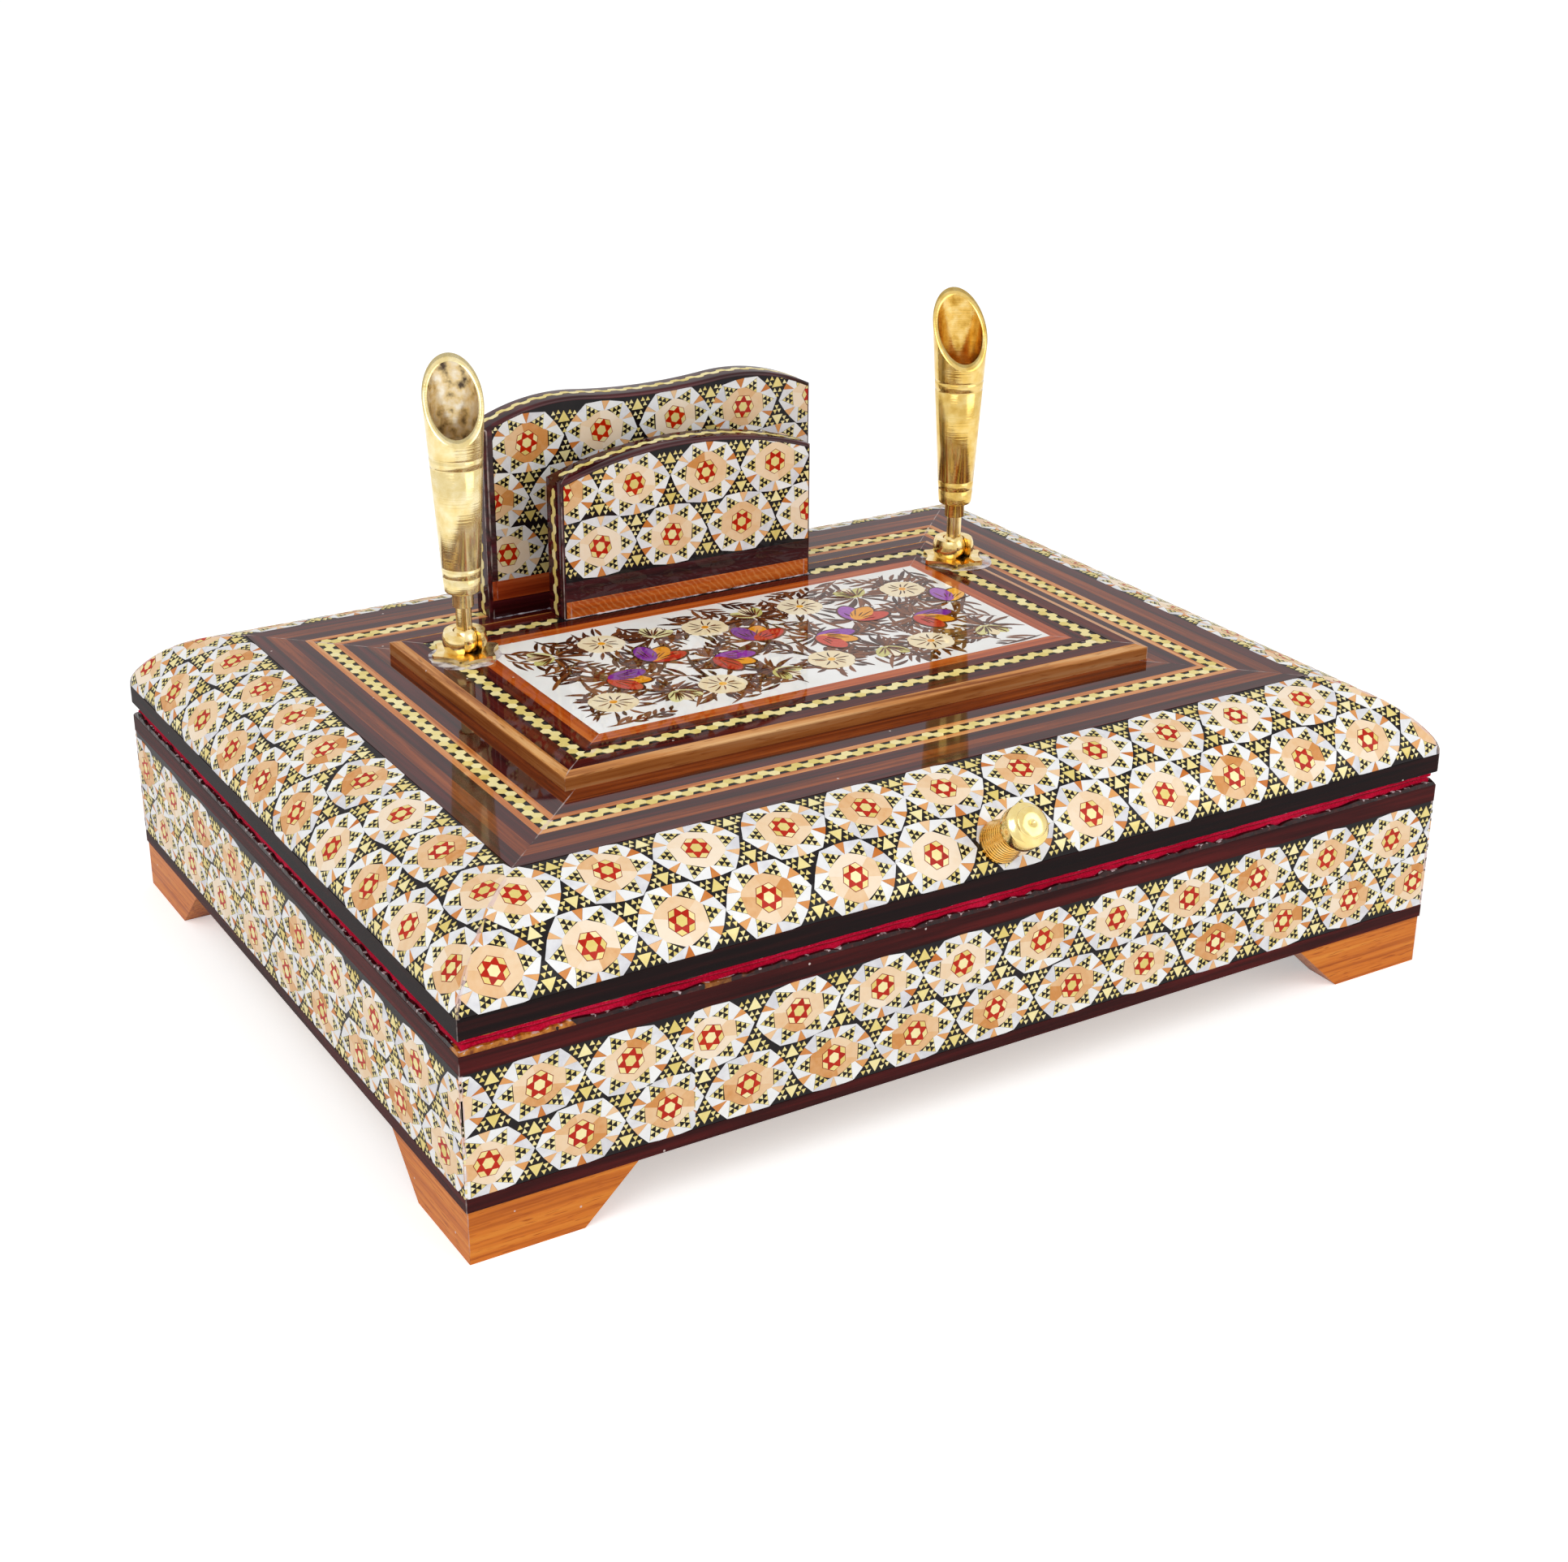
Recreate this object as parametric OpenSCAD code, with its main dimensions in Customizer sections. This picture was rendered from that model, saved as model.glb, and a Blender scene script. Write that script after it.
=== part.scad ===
// Desk box with star-mosaic veneers: hinged lid, two swivel pen holders and a card holder.
// Millimetres. +Z is up and the front faces -Y. The origin lies on the table,
// under the middle of the whole outline from the knob to the hinge barrels.

/* [Box] */
// Width of the box
box_w = 250; // [200:1:320]
// Depth of the box
box_d = 196; // [180:1:260]
// Height of the box walls
wall_h = 34.5; // [24:0.5:70]
// Thickness of the wall boards
wall_t = 7; // [6:0.5:10]
// Thickness of the veneers on walls, lid and plinth
veneer_t = 1; // [0.6:0.1:1.4]
// Thickness of the bottom panel
bottom_t = 4; // [3:0.5:6]
// Width of the rabbet that holds the bottom panel
rabbet_w = 4; // [2:0.5:5]
// Height of the dark edging along the top of the walls
upper_band_h = 4.1; // [2:0.1:7]
// Height of the dark edging along the foot of the walls
lower_band_h = 3.1; // [2:0.1:7]
// Thickness of the velvet lining
lining_t = 1.2; // [0.6:0.1:2]
// Clearance round a panel in its seat
panel_gap = 0.1; // [0.05:0.05:0.3]
// Hairline at the mitres of narrow strips and feet
glue_line = 0.02; // [0.01:0.01:0.1]

/* [Feet] */
// Height of the feet
foot_h = 12; // [8:0.5:20]
// Length of a foot along the wall, at its top
foot_len = 37.5; // [30:0.5:50]
// Length of a foot along the wall, on the table
foot_toe = 25; // [16:0.5:28]
// Thickness of the foot boards
foot_t = 9; // [6:0.5:12]
// Setback of the feet behind the walls
foot_inset = 0.3; // [0:0.1:2]

/* [Seam and hinges] */
// Height of the seam between box and lid
seam_h = 3.4; // [3:0.1:5]
// Thickness of the velvet on each rim
velvet_t = 1.5; // [0.8:0.1:1.5]
// Setback of the rim velvet behind the outer faces
velvet_inset = 1.2; // [0.5:0.1:2]
// Length of a hinge
hinge_len = 25; // [18:0.5:40]
// Distance between the middles of the two hinges
hinge_spread = 140; // [90:1:150]
// Depth of a hinge leaf on the rim
hinge_leaf_d = 6.5; // [4:0.1:7]
// Thickness of a hinge leaf
hinge_leaf_t = 1.2; // [0.8:0.1:1.4]
// Radius of a hinge pin
hinge_pin_r = 0.8; // [0.5:0.05:1]
// Radial clearance of a hinge pin
hinge_pin_fit = 0.04; // [0.02:0.01:0.08]
// End clearance between hinge knuckles
knuckle_gap = 0.3; // [0.2:0.05:0.6]
// Clearance between a hinge barrel and the back faces
barrel_gap = 0.3; // [0.2:0.05:1]
// Relief of a hinge barrel within the seam
barrel_relief = 0.1; // [0.05:0.05:0.3]

/* [Lid] */
// Height of the lid from its lower edge to its flat top
lid_h = 20.8; // [18:0.1:26]
// Height of the upright dark edging round the lid
lid_band_h = 4.5; // [3:0.1:7]
// Radius of the lower arc of the lid's curved edge
edge_low_r = 6.7; // [4:0.1:10]
// Slope where the two arcs of the curved edge meet
edge_knee = 55; // [50:1:65]
// Slope of the curved edge where it reaches the flat top
edge_top = 5; // [2:1:10]
// Width of the flat land of a rail beside the panel
rail_land = 7; // [4:0.5:12]
// Thickness of the lid panel
lid_panel_t = 6; // [4:0.5:8]

/* [Banding on the lid] */
// Width of the outer dark band
dark_outer_w = 3.7; // [2:0.1:6]
// Width of the brown band
brown_w = 3.8; // [2:0.1:6]
// Width of the second dark band
dark_second_w = 3.5; // [2:0.1:6]
// Width of each orange line
line_w = 1.6; // [0.5:0.1:2.5]
// Width of the braid between the lines
braid_w = 3.6; // [2:0.1:5]
// Width of the inner dark band
dark_inner_w = 4.3; // [2:0.1:7]

/* [Plinth] */
// Width of the plinth
plinth_w = 154; // [130:1:180]
// Depth of the plinth
plinth_d = 93; // [80:1:110]
// Height of the plinth
plinth_h = 3.6; // [2.5:0.1:8]
// Distance of the plinth behind the front of the box
plinth_front_in = 50.3; // [48:0.1:60]
// Width of the lipping round the plinth
lipping_w = 2.1; // [1:0.1:3]
// Drop of the lipping's chamfer
lipping_drop = 0.6; // [0.2:0.1:1.5]
// Width of the dark band inside the lipping
plinth_dark_w = 3.9; // [2:0.1:6]
// Width of the zigzag line
zigzag_w = 3.7; // [1:0.1:5]
// Width of the dark band inside the zigzag line
plinth_inner_w = 3.1; // [2:0.1:8]
// Width of the picture frame
frame_w = 3.7; // [2:0.1:6]

/* [Card holder] */
// Thickness of the plates
plate_t = 8.5; // [4:0.5:10]
// Width of the front plate
front_plate_w = 70; // [50:1:90]
// Height of the front plate in the middle
front_plate_h = 40; // [30:0.5:60]
// Rise of the front plate's arch
front_arch = 6; // [2:0.5:10]
// Setback of the front plate's back face from the plinth's back edge
front_plate_back = 0; // [0:0.1:8]
// Width of the rear plate
rear_plate_w = 92; // [80:1:120]
// Height of the rear plate's two humps
rear_plate_h = 53; // [42:0.5:70]
// Distance of each hump from the middle
rear_hump_x = 23.5; // [18:0.5:28]
// Radius of each hump
rear_hump_r = 50; // [40:1:52]
// Depth of the dip between the humps
rear_dip = 1.3; // [0.8:0.1:3]
// Gap between the plinth and the rear plate
rear_plate_gap = 10; // [8:0.1:20]
// Width of the dark border round the inlays
plate_border = 2; // [1:0.1:4]
// Thickness of the inlays
inlay_t = 0.8; // [0.4:0.1:1.2]
// Height of the orange strip at the foot of the front plate
front_strip_h = 4.2; // [2:0.1:7]
// Height of the dark band above that strip
front_dark_h = 5; // [2:0.1:8]
// Height of the dark base of the rear plate
rear_base_h = 4.5; // [2:0.1:8]
// Height of the orange strip on the rear plate
rear_strip_h = 5; // [2:0.1:8]

/* [Pen holders] */
// Distance of the left pen from the plinth's left edge
left_pen_in = 11.6; // [9:0.1:20]
// Distance of the right pen from the plinth's right edge
right_pen_in = 4.2; // [3:0.1:20]
// Distance of the pens from the plinth's back edge
pen_back_in = 18; // [12:0.1:30]
// Radius of the flange at its six points
flange_r = 8.2; // [7.5:0.1:11]
// Radius of the flange in the middle of its hollow sides
flange_waist_r = 6.6; // [6:0.1:7]
// Radius of the hollow sides
flange_hollow_r = 9; // [7:0.1:12]
// Thickness of the flange
flange_t = 1.3; // [1:0.1:2.5]
// Outer radius of the ball cup
cup_r = 5.3; // [5:0.1:6]
// Height of the cup above the plinth
cup_h = 6.2; // [5.9:0.1:6.8]
// Height of the ball's centre above the plinth
ball_z = 3.9; // [3.9:0.1:4.5]
// Radius of the ball
ball_r = 3.3; // [3.2:0.05:3.5]
// Radial clearance of the ball in its cup
ball_fit = 0.08; // [0.04:0.01:0.1]
// Radius of the cup's mouth
cup_mouth_r = 2.75; // [2.5:0.05:2.9]
// Radius of the stem
stem_r = 1.85; // [1.5:0.05:1.9]
// Side clearance of the stem in the cup's slot
slot_gap = 0.35; // [0.2:0.05:0.5]
// Height of the slot's floor above the plinth
slot_z = 0.9; // [0.6:0.1:1.2]
// Height of the stem's shoulder above the plinth
stem_h = 12.1; // [11:0.1:16]
// Radius of the stem's pin inside the funnel
stem_pin_r = 1.3; // [1:0.05:1.4]
// Length of the stem's pin
stem_pin_l = 5.5; // [4:0.1:6]
// Clearance between stem and funnel
funnel_fit = 0.05; // [0.03:0.01:0.1]
// Radius of the funnel's neck
neck_r = 2.5; // [2.3:0.1:3]
// Height of the funnel's neck
neck_h = 3.4; // [3:0.1:8]
// Radius of the funnel at its foot
funnel_foot_r = 4.2; // [4:0.1:5]
// Rounding of the funnel's foot
funnel_round = 0.9; // [0.5:0.1:1.4]
// Length of the funnel on its axis from the neck to the slanting mouth
funnel_len = 44.2; // [40:0.1:60]
// Radius of the funnel where the mouth crosses the axis
funnel_mouth_r = 6.9; // [6.4:0.1:8]
// Slant of the mouth
mouth_slant = 53; // [30:1:56]
// Turn of the mouth's low side from the front towards the left
mouth_turn = 17; // [-45:1:45]
// Radius of the bore that holds the pen
pen_bore_r = 4.2; // [3.8:0.05:4.3]
// Height of the bore's floor above the neck
pen_bore_z = 15; // [14:0.1:18]
// Length of the bore
pen_bore_l = 12; // [8:0.1:14]
// Wall of the funnel at its mouth
funnel_wall = 1.1; // [0.8:0.1:1.4]
// Depth of the grooves round the funnel
groove = 0.25; // [0.15:0.05:0.4]
// Distance of the lower groove pair from the funnel's foot
groove_inset = 3.9; // [2:0.1:5]
// Distance of the upper groove pair below the mouth's low side
lip_inset = 5; // [3.5:0.1:8]
// Distance between the grooves of a pair
groove_step = 2.3; // [1.5:0.1:3]

/* [Knob] */
// Upward tilt of the knob's axis
knob_tilt = 39.5; // [39:0.5:60]
// Radius of the knob's foot
knob_foot_r = 4.75; // [4:0.05:6]
// Radius of the knob's waist
knob_waist_r = 3.1; // [2.5:0.05:4]
// Radius of the knob's head
knob_head_r = 4.9; // [4.2:0.05:6.5]
// Height of the knob's upright foot edge
knob_foot_h = 0.8; // [0.5:0.1:1.5]
// Length of the knob's foot and waist
knob_waist_l = 8.9; // [6:0.1:12]
// Length of the knob's head
knob_head_l = 5.4; // [4.5:0.1:8]
// Rounding of the knob's head
knob_step = 0.6; // [0.4:0.05:0.9]
// Width of the shoulder round the knob's face
knob_shoulder = 1.5; // [1:0.05:1.6]
// Radius of the dimple in the knob's face
knob_dimple_r = 0.7; // [0.4:0.05:1.2]
// Depth of that dimple
knob_dimple_h = 0.6; // [0.3:0.05:1]
// Radius of the knob's stud
knob_stud_r = 1.5; // [1:0.05:2]
// Length of the knob's stud
knob_stud_l = 8; // [5:0.1:9]
// Clearance round the knob's stud
knob_fit = 0.1; // [0.05:0.01:0.2]

/* [Hidden] */
$fn = 96;

// Sides of a rectangle, counted from the front towards the right
FRONT = 0;
RIGHT = 1;
BACK = 2;
LEFT = 3;

// Colours of the finishes
KHATAM = "tan";
DARK = [0.18, 0.06, 0.06];
BROWN = [0.36, 0.2, 0.11];
ORANGE = [0.75, 0.4, 0.18];
WOOD = "burlywood";
VELVET = "crimson";
BRASS = "gold";
IVORY = "ivory";

// A length that reaches past every cut
past = 300;

// Arcs of the lid's curved edge, in (distance in from the face, height above the lid's lower edge)
edge_rise = lid_h - lid_band_h;
edge_high_r = (edge_rise - edge_low_r * cos(edge_knee)) / (cos(edge_top) - cos(edge_knee));
low_centre = [edge_low_r, lid_band_h];
high_centre = low_centre + (edge_high_r - edge_low_r) * [sin(edge_knee), -cos(edge_knee)];
function outward(slope) = [-sin(slope), cos(slope)];
function high_arc(slope, depth) = high_centre + (edge_high_r - depth) * outward(slope);
edge_run = high_arc(edge_top, 0)[0];

// Levels and depths of box and lid
inner_in = veneer_t + wall_t;
rim_z = foot_h + wall_h;
lid_z = rim_z + seam_h;
top_z = lid_z + lid_h;
rail_w = edge_run + rail_land;
panel_low = lid_h - veneer_t - lid_panel_t;

// Knob profile in (radius, height), and the place where its axis meets the curved edge
knob_len = knob_waist_l + knob_head_l;
knob_profile = [
  [0, 0],
  [knob_foot_r, 0],
  [knob_foot_r, knob_foot_h],
  [(knob_foot_r + knob_waist_r) / 2, knob_waist_l / 2],
  [knob_waist_r, knob_waist_l],
  [knob_head_r - knob_step, knob_waist_l],
  [knob_head_r, knob_waist_l + knob_step],
  [knob_head_r, knob_len - knob_shoulder - knob_step],
  [knob_head_r - knob_step, knob_len - knob_shoulder],
  [knob_head_r - knob_shoulder, knob_len - knob_step],
  [knob_head_r - knob_shoulder, knob_len],
  [knob_dimple_r, knob_len],
  [0, knob_len - knob_dimple_h]
];
knob_place = high_arc(90 - knob_tilt, 0);
function knob_front(p) = (p[1] + glue_line) * cos(knob_tilt) + p[0] * sin(knob_tilt) - knob_place[0];
knob_reach = max([for (p = knob_profile) knob_front(p)]);

// Hinge barrel, and the depth range of the box
barrel_r = seam_h / 2 - barrel_relief;
hinge_reach = barrel_gap + 2 * barrel_r;
front_y = (knob_reach - hinge_reach - box_d) / 2;
back_y = front_y + box_d;
box_y = (front_y + back_y) / 2;
hinge_y = back_y + barrel_gap + barrel_r;
hinge_z = rim_z + seam_h / 2;
knuckle_l = (hinge_len - 2 * knuckle_gap) / 3;

// Banding on the lid, as distances in from the faces
band_0 = edge_run + panel_gap;
band_1 = band_0 + dark_outer_w;
band_2 = band_1 + brown_w;
band_3 = band_2 + dark_second_w;
band_4 = band_3 + line_w;
band_5 = band_4 + braid_w;
band_6 = band_5 + line_w;
band_7 = band_6 + dark_inner_w;

// Plinth, and the bands on it as distances in from its edges
plinth_front_y = front_y + plinth_front_in;
plinth_back_y = plinth_front_y + plinth_d;
plinth_y = (plinth_front_y + plinth_back_y) / 2;
plinth_z = top_z + plinth_h;
step_1 = lipping_w + plinth_dark_w;
step_2 = step_1 + zigzag_w;
step_3 = step_2 + plinth_inner_w;
step_4 = step_3 + frame_w;

// Card plates
front_plate_y = plinth_back_y - front_plate_back - plate_t;
rear_plate_y = plinth_back_y + rear_plate_gap;
front_arch_r = (front_plate_w * front_plate_w / 4 + front_arch * front_arch) / (2 * front_arch);
rear_arcs_r = (rear_hump_x * rear_hump_x + rear_dip * rear_dip) / (2 * rear_dip);
rear_dip_r = rear_arcs_r - rear_hump_r;
rear_hump_centre = [rear_hump_x, rear_plate_h - rear_hump_r];
rear_hump_low = max(0, rear_hump_centre[1]);
rear_dip_centre = [0, rear_plate_h - rear_dip + rear_dip_r];
rear_meet = (rear_dip_centre - rear_hump_centre) / rear_arcs_r;

// Pens
pen_x = [-plinth_w / 2 + left_pen_in, plinth_w / 2 - right_pen_in];
pen_y = plinth_back_y - pen_back_in;
neck_z = stem_h + funnel_fit;
body_z = neck_z + neck_h;
mouth_z = body_z + funnel_len;
bore_floor_z = neck_z + pen_bore_z;
bore_top_z = bore_floor_z + pen_bore_l;
funnel_slope = (funnel_mouth_r - funnel_foot_r) / funnel_len;
function funnel_r(z) = funnel_foot_r + (z - body_z) * funnel_slope;

// Width of a rectangle's side
function run(w, d, side) = side % 2 == 0 ? w : d;

// Puts a shape that lies along X, with its outer face on y = 0, on one side of a rectangle about (0, y)
module on_side(w, d, y, side) {
  half = [[0, -d / 2], [w / 2, 0], [0, d / 2], [-w / 2, 0]][side];
  translate([half[0], y + half[1], 0])
    rotate([0, 0, 90 * side])
      children();
}

// Wedge in plan with 45 degree ends, from one depth to another, for a side of the given length
module mitre_plan(len, from, to) {
  polygon([
    [-len / 2 + from, from],
    [len / 2 - from, from],
    [len / 2 - to, to],
    [-len / 2 + to, to]
  ]);
}

// Mitred length of a profile given in (distance in, height), on one side of a rectangle
module moulding(w, d, y, z, side, depth, gap = 0) {
  len = run(w, d, side) - gap;
  on_side(w, d, y, side)
    translate([0, 0, z])
      intersection() {
        rotate([90, 0, 90])
          linear_extrude(len, center = true)
            children();
        linear_extrude(past, center = true)
          mitre_plan(len, 0, depth);
      }
}

module box_moulding(side, z, depth, gap = 0) {
  moulding(box_w, box_d, box_y, z, side, depth, gap)
    children();
}

// Flat ring of four mitred strips
module band(w, d, y, z, from, to) {
  for (side = [FRONT:LEFT])
    on_side(w, d, y, side)
      translate([0, 0, z])
        linear_extrude(veneer_t)
          mitre_plan(run(w, d, side) - glue_line, from, to);
}

module lid_band(from, to) {
  band(box_w, box_d, box_y, top_z - veneer_t, from, to);
}

module plinth_band(from, to) {
  band(plinth_w, plinth_d, plinth_y, plinth_z - veneer_t, from, to);
}

// Upright plate across the box: an outline in (x, height) with its front face on y
module upright(y, z, t) {
  translate([0, y + t, z])
    rotate([90, 0, 0])
      linear_extrude(t)
        children();
}

// Rectangle about the middle of the box, inset all round
module box_plan(inset) {
  translate([0, box_y])
    square([box_w - 2 * inset, box_d - 2 * inset], center = true);
}

// Walls and bottom
module wall_profile() {
  polygon([
    [veneer_t, 0],
    [inner_in - rabbet_w, 0],
    [inner_in - rabbet_w, bottom_t + panel_gap],
    [inner_in, bottom_t + panel_gap],
    [inner_in, wall_h],
    [veneer_t, wall_h]
  ]);
}

module wall(side) {
  color(WOOD)
    box_moulding(side, foot_h, inner_in)
      wall_profile();
}

module bottom_panel() {
  color(WOOD)
    translate([0, 0, foot_h])
      linear_extrude(bottom_t)
        box_plan(inner_in - rabbet_w + panel_gap);
}

// Veneers on the walls
module wall_veneer(side, low, high, gap) {
  box_moulding(side, foot_h, veneer_t, gap)
    translate([0, low])
      square([veneer_t, high - low]);
}

module khatam_wall(side) {
  color(KHATAM)
    wall_veneer(side, lower_band_h, wall_h - upper_band_h, 0);
}

module upper_edging() {
  color(DARK)
    for (side = [FRONT:LEFT])
      wall_veneer(side, wall_h - upper_band_h, wall_h, glue_line);
}

module lower_edging() {
  color(DARK)
    for (side = [FRONT:LEFT])
      wall_veneer(side, 0, lower_band_h, glue_line);
}

// Velvet: floor, walls and the two rims, which are cut out round the hinge leaves
module floor_lining() {
  color(VELVET)
    translate([0, 0, foot_h + bottom_t + panel_gap])
      linear_extrude(lining_t)
        box_plan(inner_in);
}

module wall_lining() {
  low = foot_h + bottom_t + panel_gap + lining_t;
  color(VELVET)
    translate([0, 0, low])
      linear_extrude(rim_z - low)
        difference() {
          box_plan(inner_in);
          box_plan(inner_in + lining_t);
        }
}

module at_hinges() {
  for (end = [-1, 1])
    translate([end * hinge_spread / 2, 0, 0])
      children();
}

module rim_sheet(z, inner) {
  color(VELVET)
    translate([0, 0, z])
      linear_extrude(velvet_t)
        difference() {
          box_plan(velvet_inset);
          box_plan(inner);
          at_hinges()
            translate([-hinge_len / 2 - panel_gap, back_y - hinge_leaf_d - panel_gap])
              square([hinge_len + 2 * panel_gap, past]);
        }
}

module rim_velvet() {
  rim_sheet(rim_z, inner_in + lining_t);
}

module lid_rim_velvet() {
  rim_sheet(lid_z - velvet_t, inner_in);
}

// Feet: two boards mitred at the corner, each with a slanting end
module foot_profile() {
  polygon([[0, 0], [foot_toe, 0], [foot_len, foot_h], [0, foot_h]]);
}

module foot_board() {
  intersection() {
    translate([0, foot_t, 0])
      rotate([90, 0, 0])
        linear_extrude(foot_t)
          foot_profile();
    linear_extrude(foot_h)
      polygon([[glue_line, 0], [foot_len, 0], [foot_len, foot_t], [foot_t + glue_line, foot_t]]);
  }
}

module foot(right, back) {
  color(ORANGE)
    translate([0, box_y, 0])
      mirror([right, 0, 0])
        mirror([0, back, 0])
          translate([foot_inset - box_w / 2, foot_inset - box_d / 2, 0]) {
            foot_board();
            mirror([1, -1, 0])
              foot_board();
          }
}

// Hinges: knuckles counted from the left, the outer two on the box and the middle one on the lid
module knuckle(count, leaf_z) {
  left = -hinge_len / 2 + count * (knuckle_l + knuckle_gap);
  translate([left, hinge_y, hinge_z])
    rotate([0, 90, 0])
      cylinder(r = barrel_r, h = knuckle_l);
  translate([left, back_y - hinge_leaf_d / 2, leaf_z])
    cube([knuckle_l, hinge_y - back_y + hinge_leaf_d / 2, hinge_leaf_t]);
}

module leaf(knuckles, leaf_z) {
  color(BRASS)
    at_hinges()
      difference() {
        union() {
          translate([-hinge_len / 2, back_y - hinge_leaf_d, leaf_z])
            cube([hinge_len, hinge_leaf_d, hinge_leaf_t]);
          for (count = knuckles)
            knuckle(count, leaf_z);
        }
        translate([-hinge_len, hinge_y, hinge_z])
          rotate([0, 90, 0])
            cylinder(r = hinge_pin_r + hinge_pin_fit, h = 2 * hinge_len);
      }
}

module hinge_box_leaves() {
  leaf([0, 2], rim_z);
}

module hinge_lid_leaves() {
  leaf([1], lid_z - hinge_leaf_t);
}

module hinge_pins() {
  color(BRASS)
    at_hinges()
      translate([-hinge_len / 2, hinge_y, hinge_z])
        rotate([0, 90, 0])
          cylinder(r = hinge_pin_r, h = hinge_len);
}

// Wedge about an arc's centre, between two slopes of the lid's curved edge
module edge_wedge(centre, from, to) {
  reach = 2 * (edge_high_r + edge_low_r);
  polygon([
    centre,
    centre + reach * outward(from),
    centre + reach * outward((from + to) / 2),
    centre + reach * outward(to)
  ]);
}

// Part of that wedge outside a radius
module outside_arc(centre, from, to, r) {
  difference() {
    edge_wedge(centre, from, to);
    translate(centre)
      circle(r);
  }
}

// Block under the curved edge, less a skin of the given depth
module under_edge(depth) {
  lap = 4;
  difference() {
    translate([depth, 0])
      square([rail_w - depth, lid_h - depth]);
    outside_arc(low_centre, 90, edge_knee, edge_low_r - depth);
    outside_arc(high_centre, edge_knee + lap, edge_top - lap, edge_high_r - depth);
  }
}

// Skin of the curved edge
module edge_skin() {
  difference() {
    intersection() {
      under_edge(0);
      translate([0, lid_band_h])
        square([edge_run, edge_rise]);
    }
    under_edge(veneer_t);
  }
}

// Section of a rail: what lies under the skin, with a sloping inner face
module rail_profile() {
  intersection() {
    under_edge(veneer_t);
    polygon([[0, 0], [inner_in, 0], [rail_w, panel_low], [rail_w, lid_h], [0, lid_h]]);
  }
}

// Axis of the knob, with Z along it and its origin under the knob's foot, which stands on the crest of the curve
module on_knob_axis() {
  translate([0, front_y + knob_place[0], lid_z + knob_place[1]])
    rotate([90 - knob_tilt, 0, 0])
      translate([0, 0, glue_line])
        children();
}

module knob_hole() {
  on_knob_axis()
    translate([0, 0, -knob_stud_l - knob_fit])
      cylinder(r = knob_stud_r + knob_fit, h = 2 * knob_stud_l);
}

module rail(side) {
  color(WOOD)
    box_moulding(side, lid_z, rail_w)
      rail_profile();
}

module lid_front_rail() {
  color(WOOD)
    difference() {
      rail(FRONT);
      knob_hole();
    }
}

module khatam_lid(side) {
  color(KHATAM)
    box_moulding(side, lid_z, rail_w)
      edge_skin();
}

module khatam_lid_front() {
  color(KHATAM)
    difference() {
      khatam_lid(FRONT);
      knob_hole();
    }
}

module lid_edging() {
  color(DARK)
    for (side = [FRONT:LEFT])
      box_moulding(side, lid_z, veneer_t, glue_line)
        square([veneer_t, lid_band_h]);
}

module lid_panel() {
  color(WOOD)
    translate([0, 0, lid_z + panel_low])
      linear_extrude(lid_panel_t)
        box_plan(rail_w + panel_gap);
}

// Hollow inside the lid: the rails' slopes and the panel, less a lining of the given thickness
module lid_hollow(w, depth) {
  lean = atan2(panel_low, rail_w - inner_in);
  side_in = depth / sin(lean);
  top = panel_low - depth;
  low_half = w / 2 - inner_in - side_in;
  top_half = low_half - top / tan(lean);
  polygon([[-low_half, 0], [low_half, 0], [top_half, top], [-top_half, top]]);
}

module lid_hollow_solid(depth) {
  translate([0, box_y, lid_z])
    intersection() {
      rotate([90, 0, 0])
        linear_extrude(box_d, center = true)
          lid_hollow(box_w, depth);
      rotate([90, 0, 90])
        linear_extrude(box_w, center = true)
          lid_hollow(box_d, depth);
    }
}

module lid_lining() {
  color(VELVET)
    difference() {
      lid_hollow_solid(0);
      lid_hollow_solid(lining_t);
    }
}

// Banding on the flat top of the lid
module top_dark_bands() {
  color(DARK) {
    lid_band(band_0, band_1);
    lid_band(band_2, band_3);
    lid_band(band_6, band_7);
  }
}

module top_brown_bands() {
  color(BROWN) {
    lid_band(band_1, band_2);
    translate([0, 0, top_z - veneer_t])
      linear_extrude(veneer_t)
        box_plan(band_7);
  }
}

module top_orange_lines() {
  color(ORANGE) {
    lid_band(band_3, band_4);
    lid_band(band_5, band_6);
  }
}

module top_braid() {
  color(KHATAM)
    lid_band(band_4, band_5);
}

// Plinth
module plinth_board() {
  color(WOOD)
    translate([0, plinth_y, top_z])
      linear_extrude(plinth_h - veneer_t)
        square([plinth_w - 2 * lipping_w, plinth_d - 2 * lipping_w], center = true);
}

module plinth_lipping() {
  color(ORANGE)
    for (side = [FRONT:LEFT])
      moulding(plinth_w, plinth_d, plinth_y, top_z, side, lipping_w, glue_line)
        polygon([[0, 0], [lipping_w, 0], [lipping_w, plinth_h], [0, plinth_h - lipping_drop]]);
}

module plinth_dark_bands() {
  color(DARK) {
    plinth_band(lipping_w, step_1);
    plinth_band(step_2, step_3);
  }
}

module plinth_zigzag() {
  color(KHATAM)
    plinth_band(step_1, step_2);
}

module picture_frame() {
  color(ORANGE)
    plinth_band(step_3, step_4);
}

module picture_panel() {
  color(IVORY)
    translate([0, plinth_y, plinth_z - veneer_t])
      linear_extrude(veneer_t)
        square([plinth_w - 2 * step_4, plinth_d - 2 * step_4], center = true);
}

// Outlines of the card plates, less a border
module above(low, w) {
  translate([-w / 2, low])
    square([w, past]);
}

module front_outline(border) {
  intersection() {
    above(0, front_plate_w - 2 * border);
    translate([0, front_plate_h - front_arch_r])
      circle(front_arch_r - border);
  }
}

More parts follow.
